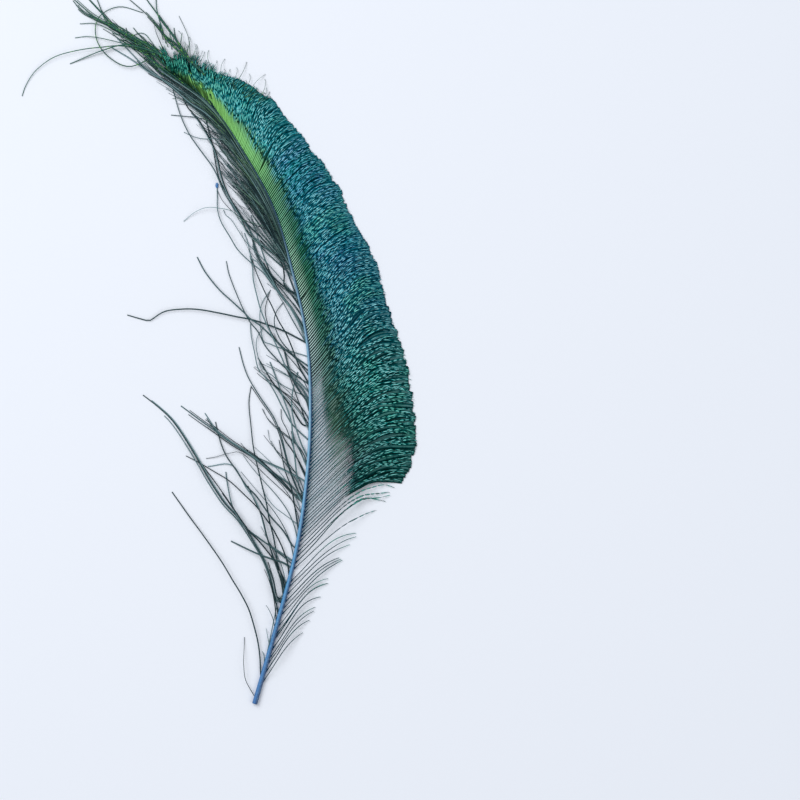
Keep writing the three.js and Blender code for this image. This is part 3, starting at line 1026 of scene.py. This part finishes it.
# Long barbs that can be told apart: where each leaves the shaft, how it differs and what it passes
strayBarbs = [
    (0.499, {}, [(23.1, 171.2), (14.6, 177.4), (8.6, 183.4), (2.6, 189.1), (-2.4, 192.4), (-4.9, 195.1),
        (-11.4, 201.1), (-17.9, 207.1), (-24.7, 215.6), (-28.8, 223.2)]),
    (0.473, {}, [(16.1, 167.2), (10.4, 172.8), (5.3, 178.8), (1.9, 185.6), (-1.9, 190.2), (-4.9, 195.4),
        (-8.9, 204.4), (-12.7, 214.2), (-14.2, 221.2)]),
    (0.536, {"width": 0.8, "tone": 0.3}, [(14.8, 186.1), (4.9, 189.9), (-2.4, 192.1), (-8.4, 193.2),
        (-17.4, 195.1), (-26.9, 196.8), (-34.9, 197.2), (-44.9, 196), (-51.7, 191.8), (-53.4, 191.3),
        (-54.8, 191.7), (-58.9, 192.8), (-63.7, 194.2)]),
    (0.556, {"width": 0.7}, [(19.1, 195.9), (14.8, 202.2), (9.6, 208.2), (4.4, 215.2), (-2.4, 220.8),
        (-8.4, 226.8), (-12.1, 232.9), (-16.8, 240.8), (-18.6, 247.2), (-18.7, 254.2), (-18.9, 259.4)]),
    (0.464, {}, [(16.4, 167.2), (13.9, 172.2), (9.1, 183.1), (6.1, 189.4), (3.1, 196.8), (1.1, 204.1),
        (-0.7, 211.8), (-1.1, 218.2), (-2.4, 223.8)]),
    (0.476, {}, [(22.9, 167.2), (21.1, 171.4), (18.6, 178.2), (15.6, 185.2), (12.1, 191.2), (8.8, 198.4),
        (4.9, 206.2), (0.6, 216.1), (-2.9, 226.8)]),
    (0.552, {"count": 4, "spread": 0.7, "width": 0.9}, [(19.1, 196.8), (14.8, 202.2), (11.3, 207.1),
        (8.3, 212.6), (4.9, 218.2), (1.9, 223.8), (-0.9, 231.8)]),
    (0.599, {"count": 2}, [(19.1, 205.2), (14.3, 208.8), (8.8, 213.9), (6.1, 219.9), (3.6, 226.8),
        (0.6, 235.8), (-1.9, 244.2)]),
    (0.611, {}, [(15.1, 208.8), (14.8, 213.9), (13.9, 219.1), (11.3, 222.9), (7.1, 226.8), (2.6, 231.8)]),
    (0.495, {"width": 0.55}, [(18.6, 174.2), (13.1, 179.2), (10.1, 182.6), (7.1, 188.2), (5.3, 195.1),
        (5.8, 200.2), (7.8, 206.8)]),
    (0.515, {"width": 0.55}, [(12.6, 177.8), (7.6, 179.8), (4.4, 181.2), (3.1, 187.2), (2.6, 195.1),
        (4.1, 201.1), (7.9, 206.6)]),
    (0.486, {"width": 0.6}, [(23.3, 169.2), (19.1, 174.4), (13.9, 180.4), (10.9, 186.1), (9.8, 191.2),
        (10.9, 195.9), (14.3, 200.6)]),
    (0.455, {"width": 0.5}, [(14.6, 158.8), (9.1, 163.8), (4.4, 167.2), (1.9, 172.8), (0.8, 178.8),
        (1.4, 183.4), (4.4, 188.2)]),
    (0.302, {"count": 2}, [(21.1, 107.8), (17.1, 118.9), (13.8, 131.8), (9.9, 142.4), (3.4, 152.2),
        (-2.6, 161.8), (-5.6, 169.2), (-7.9, 178.2)]),
    (0.394, {}, [(19.1, 139.2), (14.6, 146.8), (10.1, 155.8), (5.6, 162.8), (1.9, 167.2), (-0.2, 176.2),
        (-1.8, 183.9), (-2.2, 189.8)]),
    (0.416, {}, [(23.6, 139.8), (17.6, 149.2), (12.6, 155.8), (8.1, 161.8), (4.6, 167.8), (1.6, 172.8)]),
    (0.309, {}, [(21.6, 110.8), (20.1, 123.2), (19.1, 131.8), (18.6, 139.2), (17.1, 145.2), (14.1, 153.2),
        (11.1, 161.8), (7.6, 170.8)]),
    (0.409, {"width": 0.6}, [(25.6, 140.2), (23.6, 146.8), (21.1, 153.2), (18.1, 161.8), (15.1, 168.8)]),
    (0.325, {"count": 2, "spread": 0.5}, [(24.1, 111.8), (15.1, 116.8), (7.6, 120.2), (-1.4, 124.2)]),
    (0.299, {"count": 5, "spread": 0.9}, [(20.1, 104.2), (12.6, 111.8), (3.6, 120.2), (-1.4, 124.2),
        (-11.4, 130.2), (-20.4, 136.8), (-27.4, 141.8), (-36.9, 148.8)]),
    (0.241, {"count": 2, "spread": 0.6}, [(19.4, 78.2), (14.3, 86.4), (7.9, 93.8), (1.1, 103.6),
        (-3.9, 108.8), (-9.9, 117.8), (-14.4, 124.2), (-17.4, 131.8), (-19.6, 140.8)]),
    (0.299, {"count": 2, "spread": 0.6}, [(18.6, 108.8), (7.6, 116.8), (-3.9, 125.8), (-14.9, 133.2),
        (-19.9, 137.8), (-24.9, 145.2)]),
    (0.287, {"width": 0.4}, [(17.6, 102.8), (6.6, 113.2), (-5.9, 124.8), (-12.4, 125.2), (-19.9, 123.2),
        (-24.4, 122.5)]),
    (0.172, {"width": 0.6}, [(6.6, 81.8), (1.6, 99.2), (-4.4, 108.2), (-11.4, 119.2), (-23.4, 118.5)]),
    (0.195, {}, [(16.4, 70.2), (13.9, 77.9), (10.4, 85.2), (7.4, 90.2), (1.4, 98.1), (-4.1, 103.6),
        (-12.4, 111.2), (-19.9, 115.8), (-27.4, 120.2), (-34.4, 123.8)]),
    (0.151, {"count": 4, "spread": 0.9, "width": 0.9}, [(10.6, 52.2), (7.4, 64.6), (4.1, 73.2), (0.1, 80.1),
        (-4.6, 87.8), (-8.4, 93.2), (-15.2, 100.6), (-22.6, 111.8), (-27.4, 120.2), (-34.4, 131.8),
        (-41.4, 141.8), (-48.9, 148.8), (-55.9, 154.2)]),
    (0.175, {"count": 2}, [(12.6, 66.8), (8.8, 73.2), (1.9, 81.8), (-2.4, 86.1), (-8.4, 94.6),
        (-13.6, 102.2), (-20.6, 111.8), (-25.9, 118.8)]),
    (0.217, {}, [(12.6, 75.8), (3.6, 81.8), (-4.9, 88.6), (-9.7, 95.9), (-11.9, 101.4), (-14, 111.8),
        (-14.4, 115.8)]),
    (0.183, {}, [(12.1, 64.8), (10.9, 74.1), (9.6, 82.6), (7.4, 91.6), (5.8, 100.6), (3.1, 111.8),
        (-0.4, 126.8), (-1.9, 139.2), (-2.9, 150.2), (-1.9, 158.2)]),
    (0.163, {}, [(13.1, 61.8), (8.8, 74.9), (6.1, 84.2), (3.6, 93.8), (-0.2, 101.8), (-3.4, 108.8)]),
    (0.204, {"width": 1.1}, [(13.9, 70.6), (7.4, 72.8), (1.1, 75.2), (-4.9, 77.9), (-11.9, 81.2)]),
    (0.213, {}, [(14.8, 73.2), (7.4, 79.2), (1.1, 83.9), (-4.6, 87.8), (-9.4, 93.8)]),
    (0.269, {"width": 0.45}, [(16.1, 93.8), (10.1, 98.4), (5.8, 103.6), (3.6, 107.8)]),
    (0.042, {"width": 0.8}, [(2.6, 23.6), (1.6, 31.1), (-0.2, 38.6), (-2.8, 47.1), (-6.7, 54.9),
        (-10.9, 61.8), (-16.9, 71.8), (-26.4, 85.2), (-32.4, 93.2), (-41.4, 105.8)]),
    (0.136, {"count": 2, "spread": 0.5}, [(10.8, 49.8), (9.1, 55.8), (7.6, 62.8), (5.1, 71.8)]),
    (0.152, {"count": 2, "spread": 0.5}, [(11.1, 54.2), (9.6, 61.8), (6.6, 70.8)]),
    (0.074, {"width": 0.5}, [(10.8, 47.8), (11.1, 51.8)]),
    (0.01, {"width": 0.4}, [(-4.4, 11.8), (-5.4, 19.2), (-5.4, 24.2), (-5.1, 33.2)]),
    (0.343, {}, [(22.6, 120.2), (18.6, 126.8), (15.1, 131.8), (12.1, 138.2)]),
    (0.338, {"width": 0.5}, [(21.6, 121.8), (16.6, 135.8), (13.6, 141.8), (13.1, 147.2)]),
    (0.318, {"width": 0.4}, [(21.6, 113.8), (16.6, 119.2), (11.1, 125.8), (7.6, 131.8), (6.6, 136.8)]),
    (0.354, {"count": 2, "spread": 0.5}, [(22.6, 126.8), (20.1, 131.8), (18.6, 136.8)]),
    (0.435, {"count": 3, "spread": 0.6}, [(25.6, 151.8), (21.6, 157.8), (17.6, 165.8), (14.6, 176.8)]),
    (0.372, {}, [(22.6, 131.8), (19.1, 144.2), (18.6, 151.8), (19.6, 159.2), (21.6, 165.8)]),
    (0.262, {}, [(18.6, 106.8), (15.1, 116.8), (12.1, 131.8)]),
    (0.599, {}, [(14.1, 220.8), (8.3, 227.8), (1.8, 234.2), (-4.2, 240.2), (-8.9, 247.2), (-13.9, 254.8),
        (-17.7, 262.2), (-19.6, 270.5), (-20.9, 278.4), (-23.4, 287.8), (-25.4, 295.8)]),
    (0.637, {}, [(3.6, 227.8), (-3.9, 238.8), (-11.4, 249.2), (-15.9, 256.8), (-18.6, 263.6),
        (-21.4, 268.8), (-25.1, 273.8), (-30.2, 280.8), (-33.4, 285.8), (-37.4, 294.8), (-40.9, 306.8)]),
    (0.657, {"count": 2, "spread": 0.6}, [(-1.4, 232.8), (-7.4, 243.8), (-12.9, 253.8), (-16.4, 262.8),
        (-19.9, 276.8), (-27.4, 290.8), (-33.4, 297.8), (-36.4, 303.8), (-39.4, 309.8)]),
    (0.702, {"width": 0.36, "tone": 1.0}, [(2.6, 239.2), (-6.6, 241.8), (-11.2, 245.9), (-17.7, 247.5),
        (-24.2, 247.8), (-30.2, 245.4), (-35.6, 241)]),
    (0.696, {"width": 0.45}, [(3.6, 237.8), (-3.4, 240.8), (-8.4, 243.8), (-12.4, 247.2), (-16.4, 251.8),
        (-18.8, 256.8)]),
    (0.768, {"width": 0.5}, [(-11.4, 278.8), (-18.2, 281.9), (-25.1, 282.1), (-30.2, 283.2),
        (-35.4, 285.6)]),
    (0.785, {"width": 0.5}, [(-16.4, 286.8), (-24.9, 291.8), (-32.4, 293.2), (-41.9, 294.2)]),
    (0.533, {"width": 0.6}, [(21.6, 190.8), (14.6, 202.8), (7.6, 211.8), (1.1, 220.8), (-1.5, 222.2),
        (-3.3, 229.8), (-5.2, 235.2)]),
    (0.573, {"width": 0.6}, [(17.6, 201.8), (9.6, 211.8), (2.8, 222.2), (-0.1, 227.8), (-1.7, 233.8),
        (-3.3, 239.4)]),
    (0.599, {"width": 0.5}, [(11.6, 214.2), (3.6, 222.8), (-3.9, 230.2), (-8.4, 236.8), (-11.7, 241.8),
        (-14.5, 244.2), (-15.6, 246.8)]),
    (0.801, {"count": 2, "spread": 0.6}, [(-19.9, 290.8), (-32.4, 300.2), (-39.9, 306.8), (-47.4, 312.8),
        (-54.9, 318.2), (-62.4, 325.8), (-68.9, 332.8)]),
    (0.836, {"count": 2, "spread": 0.5}, [(-14.9, 286.8), (-24.9, 295.8), (-33.4, 303.2), (-42.4, 309.8),
        (-52.4, 315.2), (-61.4, 321.8), (-71.4, 327.8)]),
    (0.736, {"count": 2, "spread": 0.7}, [(-8.4, 275.8), (-19.4, 287.8), (-29.4, 297.8), (-37.4, 305.8),
        (-43.4, 310.8)]),
]
narrowLook = {
    "stations": 40,
    "clumpWidth": (0.35, 0.6),
    "fineWidth": (0.26, 0.5),
    "taper": 0.6,
    "strayTaper": 0.25,
    "lift": (1.0, 4.0),
}
darkLook = {
    "tints": ((0.006, 0.026, 0.032), (0.125, 0.25, 0.27)),
    "tonePower": 1.5,
    "olivePart": (0.8, ("along", 0.62, 0.75), ("away", 40, 8), ("tone", 0.3, 0.7)),
    "olive": (0.1, 0.24, 0.06),
    # painted highlight: paler where a barb lies flat
    "palePart": (0.45, ("face", 0.6, 0.95), ("tone", 0.5, 0.9)),
    "pale": (0.34, 0.46, 0.48),
    "surface": {"Roughness": 0.5, "Specular_IOR_Level": 0.3},
}
beadLook = {
    "spot": (-18.9, 259.0),
    "high": 0.5,
    "halves": (0.75, 1.4, 0.48),
    "subdivisions": 3,
    "noise": (1400, 2),
    "skinPart": (1, ("skin", 0.35, 0.65)),
    "tints": ((0.02, 0.13, 0.38), (0.07, 0.26, 0.52)),
    "roughness": (0.22, 0.2),
    "bump": (0.2, 0.0002),
}
rng = np.random.default_rng(seeds["narrow"])


def narrowVane():
    stations = narrowLook["stations"]
    lower, lowerT = clumpBarbs(stations, clumpLook)
    upper, upperT = clumpBarbs(stations, clumpHighLook)
    veil, veilT = veilBarbs(stations, veilLook)
    foot, footT = veilBarbs(stations, veilFootLook)
    strays, strayT, strayWide, strayTone = strandRoutes(strayBarbs, stations)
    flat = np.concatenate([lower, upper, veil, foot, strays])
    t = np.concatenate([lowerT, upperT, veilT, footT, strayT])
    fine = len(t) - len(strayT)
    clumpWide = rng.uniform(*narrowLook["clumpWidth"], len(lowerT))
    fineWide = rng.uniform(*narrowLook["fineWidth"], fine - len(lowerT))
    wide = np.concatenate([clumpWide, fineWide, strayWide])
    taper = np.where(np.arange(len(t)) < fine, narrowLook["taper"], narrowLook["strayTaper"])
    lift = rng.uniform(*narrowLook["lift"], len(t))
    tone = np.concatenate([rng.uniform(0, 1, fine), strayTone])
    return looseMesh("narrow_barbs", flat, t, wide, lift, tone, taper)


def darkFinish():
    look = Finish("darkBarbs", "along", "tone", "away", "face")
    body = look.mix(look.reads["tone"] ** darkLook["tonePower"], *darkLook["tints"])
    body = look.mix(look.part(*darkLook["olivePart"]), body, darkLook["olive"])
    # painted highlight: paler where a barb lies flat
    body = look.mix(look.part(*darkLook["palePart"]), body, darkLook["pale"])
    look.set(Base_Color=body, **darkLook["surface"])
    return look


def beadPiece():
    # a bead of dried dye at the end of one long barb
    bm = bmesh.new()
    spot = Vector((*(np.array(beadLook["spot"]) + shift[:2]), beadLook["high"])) * mm
    size = Matrix.Diagonal((*(mm * half for half in beadLook["halves"]), 1))
    place = Matrix.Translation(spot) @ size
    bmesh.ops.create_icosphere(bm, subdivisions=beadLook["subdivisions"], radius=1, matrix=place)
    return meshFromBm(bm, "dye_bead")


def beadFinish():
    look = Finish("driedDye", skin=beadLook["noise"])
    skin = look.reads["skin"]
    least, more = beadLook["roughness"]
    body = look.mix(look.part(*beadLook["skinPart"]), *beadLook["tints"])
    look.set(Base_Color=body, Roughness=least + skin * more, Normal=look.bump(skin, *beadLook["bump"]))
    return look


finishPiece(narrowVane(), darkFinish(), "narrow_vane")
finishPiece(beadPiece(), beadFinish(), "narrow_vane")

# The strands of the tuft: where they start past the shaft, how they differ, what they pass
tuftStart = [(-31, 314), (-46, 323.5)]
highStart = [(-24, 312), (-31, 320)]
tuftStrands = [
    (tuftStart, {"width": 0.6, "tone": 1.0}, [(-64.9, 328.3), (-77, 327.8), (-88, 326.4), (-100, 323.1),
        (-109.4, 316.4), (-114.4, 309), (-116.3, 303.6)]),
    (tuftStart, {"count": 2, "spread": 0.5, "width": 0.7}, [(-62.9, 328.8), (-75.9, 326.3),
        (-92.4, 319.8)]),
    (tuftStart, {"width": 0.6}, [(-67.9, 330.3), (-81.9, 333.3), (-89.9, 332.8)]),
    (tuftStart, {"width": 0.7}, [(-62.9, 331.3), (-77.9, 339.3), (-87.4, 339.8)]),
    (tuftStart, {"width": 0.7}, [(-61.9, 318.3), (-71.9, 322.3), (-78.4, 330.3), (-79.4, 339.3),
        (-75.4, 345.3), (-66.9, 348.3), (-55.9, 345.3)]),
    (tuftStart, {"count": 3, "width": 0.88}, [(-52.9, 328.4), (-65.4, 335.3), (-73.1, 339.3),
        (-80.9, 342.8), (-86.4, 346), (-90.9, 351.4)]),
    (tuftStart, {"count": 3, "width": 0.88}, [(-52.9, 328.4), (-62.4, 333.8), (-69.4, 337.8),
        (-76.9, 345.8), (-82.4, 351.8), (-84.4, 354.3)]),
    (tuftStart, {"count": 2, "width": 1.0}, [(-52.9, 329.4), (-62.9, 333.8), (-73.1, 339.5), (-78.2, 350.3),
        (-79.4, 353.8)]),
    (tuftStart, {"count": 2, "width": 0.9}, [(-56.4, 325.8), (-62.4, 329.8), (-66.9, 333.3),
        (-69.4, 338.3)]),
    (tuftStart, {"count": 2, "width": 0.8}, [(-52.4, 329.3), (-57.4, 333.8), (-60.7, 337.8)]),
    (tuftStart, {"width": 0.7}, [(-50.9, 329.8), (-54.4, 334.3), (-57.4, 335.2), (-60.9, 334)]),
    (tuftStart, {"width": 0.8}, [(-57.4, 326.8), (-62.4, 332.8), (-64.4, 337.8)]),
    (highStart, {"count": 3, "width": 0.85}, [(-40.4, 333.3), (-46.7, 341.8), (-49.9, 346.3),
        (-53.9, 351.8), (-55.4, 354.8)]),
    (highStart, {"count": 3, "width": 0.85}, [(-38.9, 328.8), (-45.1, 333.8), (-48.9, 338.8),
        (-54.4, 344.8), (-62.4, 351.8), (-64, 353.5)]),
    (highStart, {"count": 2, "width": 1.0}, [(-40.4, 328.3), (-45.1, 333.8), (-46.7, 338.8), (-48.9, 346.8),
        (-49.4, 354.8)]),
    (highStart, {"count": 2, "width": 0.8}, [(-36.4, 327.8), (-39.4, 332.8), (-40.4, 337.8)]),
    (highStart, {"width": 0.4}, [(-32.4, 327.3), (-33.4, 333.8), (-37.9, 343.8)]),
]
# Middle of the long bundle that runs out past the shaft
bundleLine = [(-38, 312.3), (-46, 319.3), (-57.4, 328.8), (-69.9, 337.3), (-80.9, 343.8), (-92.4, 353.8)]
bundleLook = {
    "count": 25,
    "stations": 56,
    "spots": 400,
    "halfWidth": 5.4,
    "endWidth": 2.0,
    "starts": (0.92, 0.99),   # shares of the shaft, then of the bundle where a barb joins and ends
    "joins": (0.06, 0.22),
    "ends": (0.34, 0.72),
    "farEnds": (1.0, 0.98, 0.93, 0.86),
    "wander": 1.2,
    "wanderRate": 4.5,
    "wanderShift": 3,
    "middlePower": 0.5,
    "straightStation": 9,     # barbs run straight from the shaft towards this station
    "straightRun": 0.16,
    "width": (0.42, 0.8),
}
tuftLook = {
    "from": 0.9,
    "stations": 56,
    "lift": (1.0, 4.5),
    "taper": 0.4,
    "noise": (900, 2),
    # painted glints: lighter green specks along the strands, away from their ends
    "glintFlecks": (1, ("fleck", 0.55, 0.66), ("turned", 0.1, 0.3), ("turned", 0.95, 0.65)),
    "tints": ((0.008, 0.045, 0.04), (0.03, 0.13, 0.1)),
    "green": (0.12, 0.36, 0.07),
    "surface": {"Roughness": 0.42, "Metallic": 0.15, "Specular_IOR_Level": 0.3},
}
fringeLook = {
    "count": 56,
    "stations": 24,
    "from": 0.868,
    "run": 0.122,
    "longShare": 0.3,         # of the barbs stand out further, up to this share of the shaft
    "longUpTo": 0.95,
    "long": (5, 12),
    "short": (0.2, 3),
    "start": (0.3, 0.7),
    "swing": (112, 18),       # degrees from +X, and their scatter
    "swingEach": 0.4,
    "leaveTurn": 0.7,
    "endShort": 0.35,
    "endShortFrom": 0.9,
    "lift": (1.0, 3.0),
    "width": (0.25, 0.45),
    "taper": 0.6,
}
rng = np.random.default_rng(seeds["tip"])


def bundleRoutes():
    line = smoothRoute(bundleLine, bundleLook["spots"])
    along = np.linspace(0, 1, len(line))
    heading = np.unwrap(np.arctan2(*np.gradient(line, axis=0).T[::-1]))
    count = bundleLook["count"]
    low, high = bundleLook["starts"]
    t = rng.uniform(low, high, count)
    root = shaftSpot(t)[:, None, :]
    joinFirst, joinRun = bundleLook["joins"]
    enter = (t - low) / (high - low) * joinRun + joinFirst
    leave = rng.uniform(*bundleLook["ends"], count)
    leave[:len(bundleLook["farEnds"])] = bundleLook["farEnds"]
    side = rng.uniform(-1, 1, count)[:, None]
    v = np.linspace(0, 1, bundleLook["stations"])
    place = enter[:, None] + (leave - enter)[:, None] * v
    half = bundleLook["halfWidth"] + (bundleLook["endWidth"] - bundleLook["halfWidth"]) * place
    wander = rng.normal(0, bundleLook["wander"], count)[:, None]
    offset = side * half + wander * np.sin(v * bundleLook["wanderRate"] + side * bundleLook["wanderShift"])
    # the longest barb runs to the middle
    offset[0] *= 1 - v ** bundleLook["middlePower"]
    angle = np.interp(place, along, heading) + math.pi / 2
    spot = np.stack([np.interp(place, along, line[:, k]) for k in (0, 1)], axis=-1)
    spot = spot + headed(angle) * offset[..., None]
    blend = eased(rising(v, 0, bundleLook["straightRun"]))[None, :, None]
    near = bundleLook["straightStation"]
    straight = root + (spot[:, near:near + 1, :] - root) * (v / v[near])[None, :, None]
    return straight * (1 - blend) + spot * blend, t


def tuftPiece():
    onRight = {"hand": -1}
    start = tuftLook["from"]
    strands = [(start, {**given, **onRight}, first + points) for first, given, points in tuftStrands]
    flat, t, wide, tone = strandRoutes(strands, tuftLook["stations"])
    bundle, bundleT = bundleRoutes()
    flat, t = np.concatenate([flat, bundle]), np.concatenate([t, bundleT])
    wide = np.concatenate([wide, rng.uniform(*bundleLook["width"], len(bundleT))])
    tone = np.concatenate([tone, rng.uniform(0, 1, len(bundleT))])
    lift = rng.uniform(*tuftLook["lift"], len(t))
    return looseMesh("tip_tuft", flat, t, wide, lift, tone, np.full(len(t), tuftLook["taper"]))


def fringePiece():
    # fine ends of the upper barbs, past the edge of the broad vane
    count = fringeLook["count"]
    t = fringeLook["from"] + fringeLook["run"] * (np.arange(count) + rng.uniform(0, 1, count)) / count
    isLong = (rng.uniform(0, 1, count) < fringeLook["longShare"]) * (t < fringeLook["longUpTo"])
    longFree = rng.uniform(*fringeLook["long"], count)
    free = np.where(isLong, longFree, rng.uniform(*fringeLook["short"], count))[:, None]
    root = shaftSpot(t)
    reach = betweenRows(t, broadEnds) - root
    start = root + reach * rng.uniform(*fringeLook["start"], count)[:, None]
    swing = np.radians(rng.normal(*fringeLook["swing"], count))
    shorter = rng.uniform(0, fringeLook["endShort"], count) * (t > fringeLook["endShortFrom"])
    end = root + reach * (1 - shorter)[:, None] + headed(swing) * free
    arrive = swing + rng.normal(0, fringeLook["swingEach"], count)
    places = np.linspace(0, 1, fringeLook["stations"])[None, :]
    flat = bezierRoutes(start, shaftHeading(t) - fringeLook["leaveTurn"], end, arrive, places)
    lift = rng.uniform(*fringeLook["lift"], count)
    wide = rng.uniform(*fringeLook["width"], count)
    tone = rng.uniform(0, 1, count)
    return looseMesh("fine_fringe", flat, t, wide, lift, tone, np.full(count, fringeLook["taper"]))


def tuftFinish():
    look = Finish("tuftBarbs", "tone", "turned", fleck=tuftLook["noise"])
    body = look.mix(look.reads["tone"], *tuftLook["tints"])
    # painted glints of lighter green along the strands
    body = look.mix(look.part(*tuftLook["glintFlecks"]), body, tuftLook["green"])
    look.set(Base_Color=body, **tuftLook["surface"])
    return look


tuft = tuftFinish()
for piece in (tuftPiece(), fringePiece()):
    finishPiece(piece, tuft, "broad_vane")

# Lengths here are millimetres, except for the lights and the floor, which are in metres
stageLook = {
    "frameWidth": 400.0,
    "cameraHeight": 1600.0,
    "viewCentre": (72.6, 151.75),
    "sensor": 36,
    "floorSize": 4.0,
    "floorColour": (0.86, 0.885, 0.95),
    "floorSurface": {"Roughness": 0.85, "Specular_IOR_Level": 0.1},
    "lightColour": (0.95, 0.975, 1.0),
    "worldStrength": 0.45,
}
# Where each light is, how large and how strong
areaLights = {
    "keyLight": ((-0.9, 0.8, 1.5), 1.3, 25.3),
    "fillLight": ((1.1, -0.6, 1.3), 1.2, 6),
}


def floorPiece():
    bm = bmesh.new()
    bmesh.ops.create_grid(bm, x_segments=1, y_segments=1, size=stageLook["floorSize"])
    floor = meshFromBm(bm, "pale_floor")
    look = Finish("paleFloor")
    look.set(Base_Color=stageLook["floorColour"], **stageLook["floorSurface"])
    floor.data.materials.append(look.material)


def areaLight(name, location, size, power):
    data = bpy.data.lights.new(name, "AREA")
    data.shape = "SQUARE"
    data.size = size
    data.energy = power
    data.color = stageLook["lightColour"]
    light = bpy.data.objects.new(name, data)
    light.location = location
    light.rotation_euler = (-Vector(location)).to_track_quat("-Z", "Y").to_euler()
    bpy.context.collection.objects.link(light)


def cameraOverhead():
    centre = (np.array([*stageLook["viewCentre"], 0]) + shift) * mm
    data = bpy.data.cameras.new("camera")
    data.sensor_width = stageLook["sensor"]
    data.lens = stageLook["sensor"] * stageLook["cameraHeight"] / stageLook["frameWidth"]
    camera = bpy.data.objects.new("camera", data)
    camera.location = (centre[0], centre[1], stageLook["cameraHeight"] * mm)
    bpy.context.collection.objects.link(camera)
    bpy.context.scene.camera = camera


def surroundings():
    world = bpy.data.worlds.new("softRoom")
    world.use_nodes = True
    back = world.node_tree.nodes["Background"]
    back.inputs["Color"].default_value = (*stageLook["lightColour"], 1)
    back.inputs["Strength"].default_value = stageLook["worldStrength"]
    bpy.context.scene.world = world
    bpy.context.scene.view_settings.view_transform = "Standard"


floorPiece()
for name, (location, size, power) in areaLights.items():
    areaLight(name, location, size, power)
cameraOverhead()
surroundings()
print("stage made")
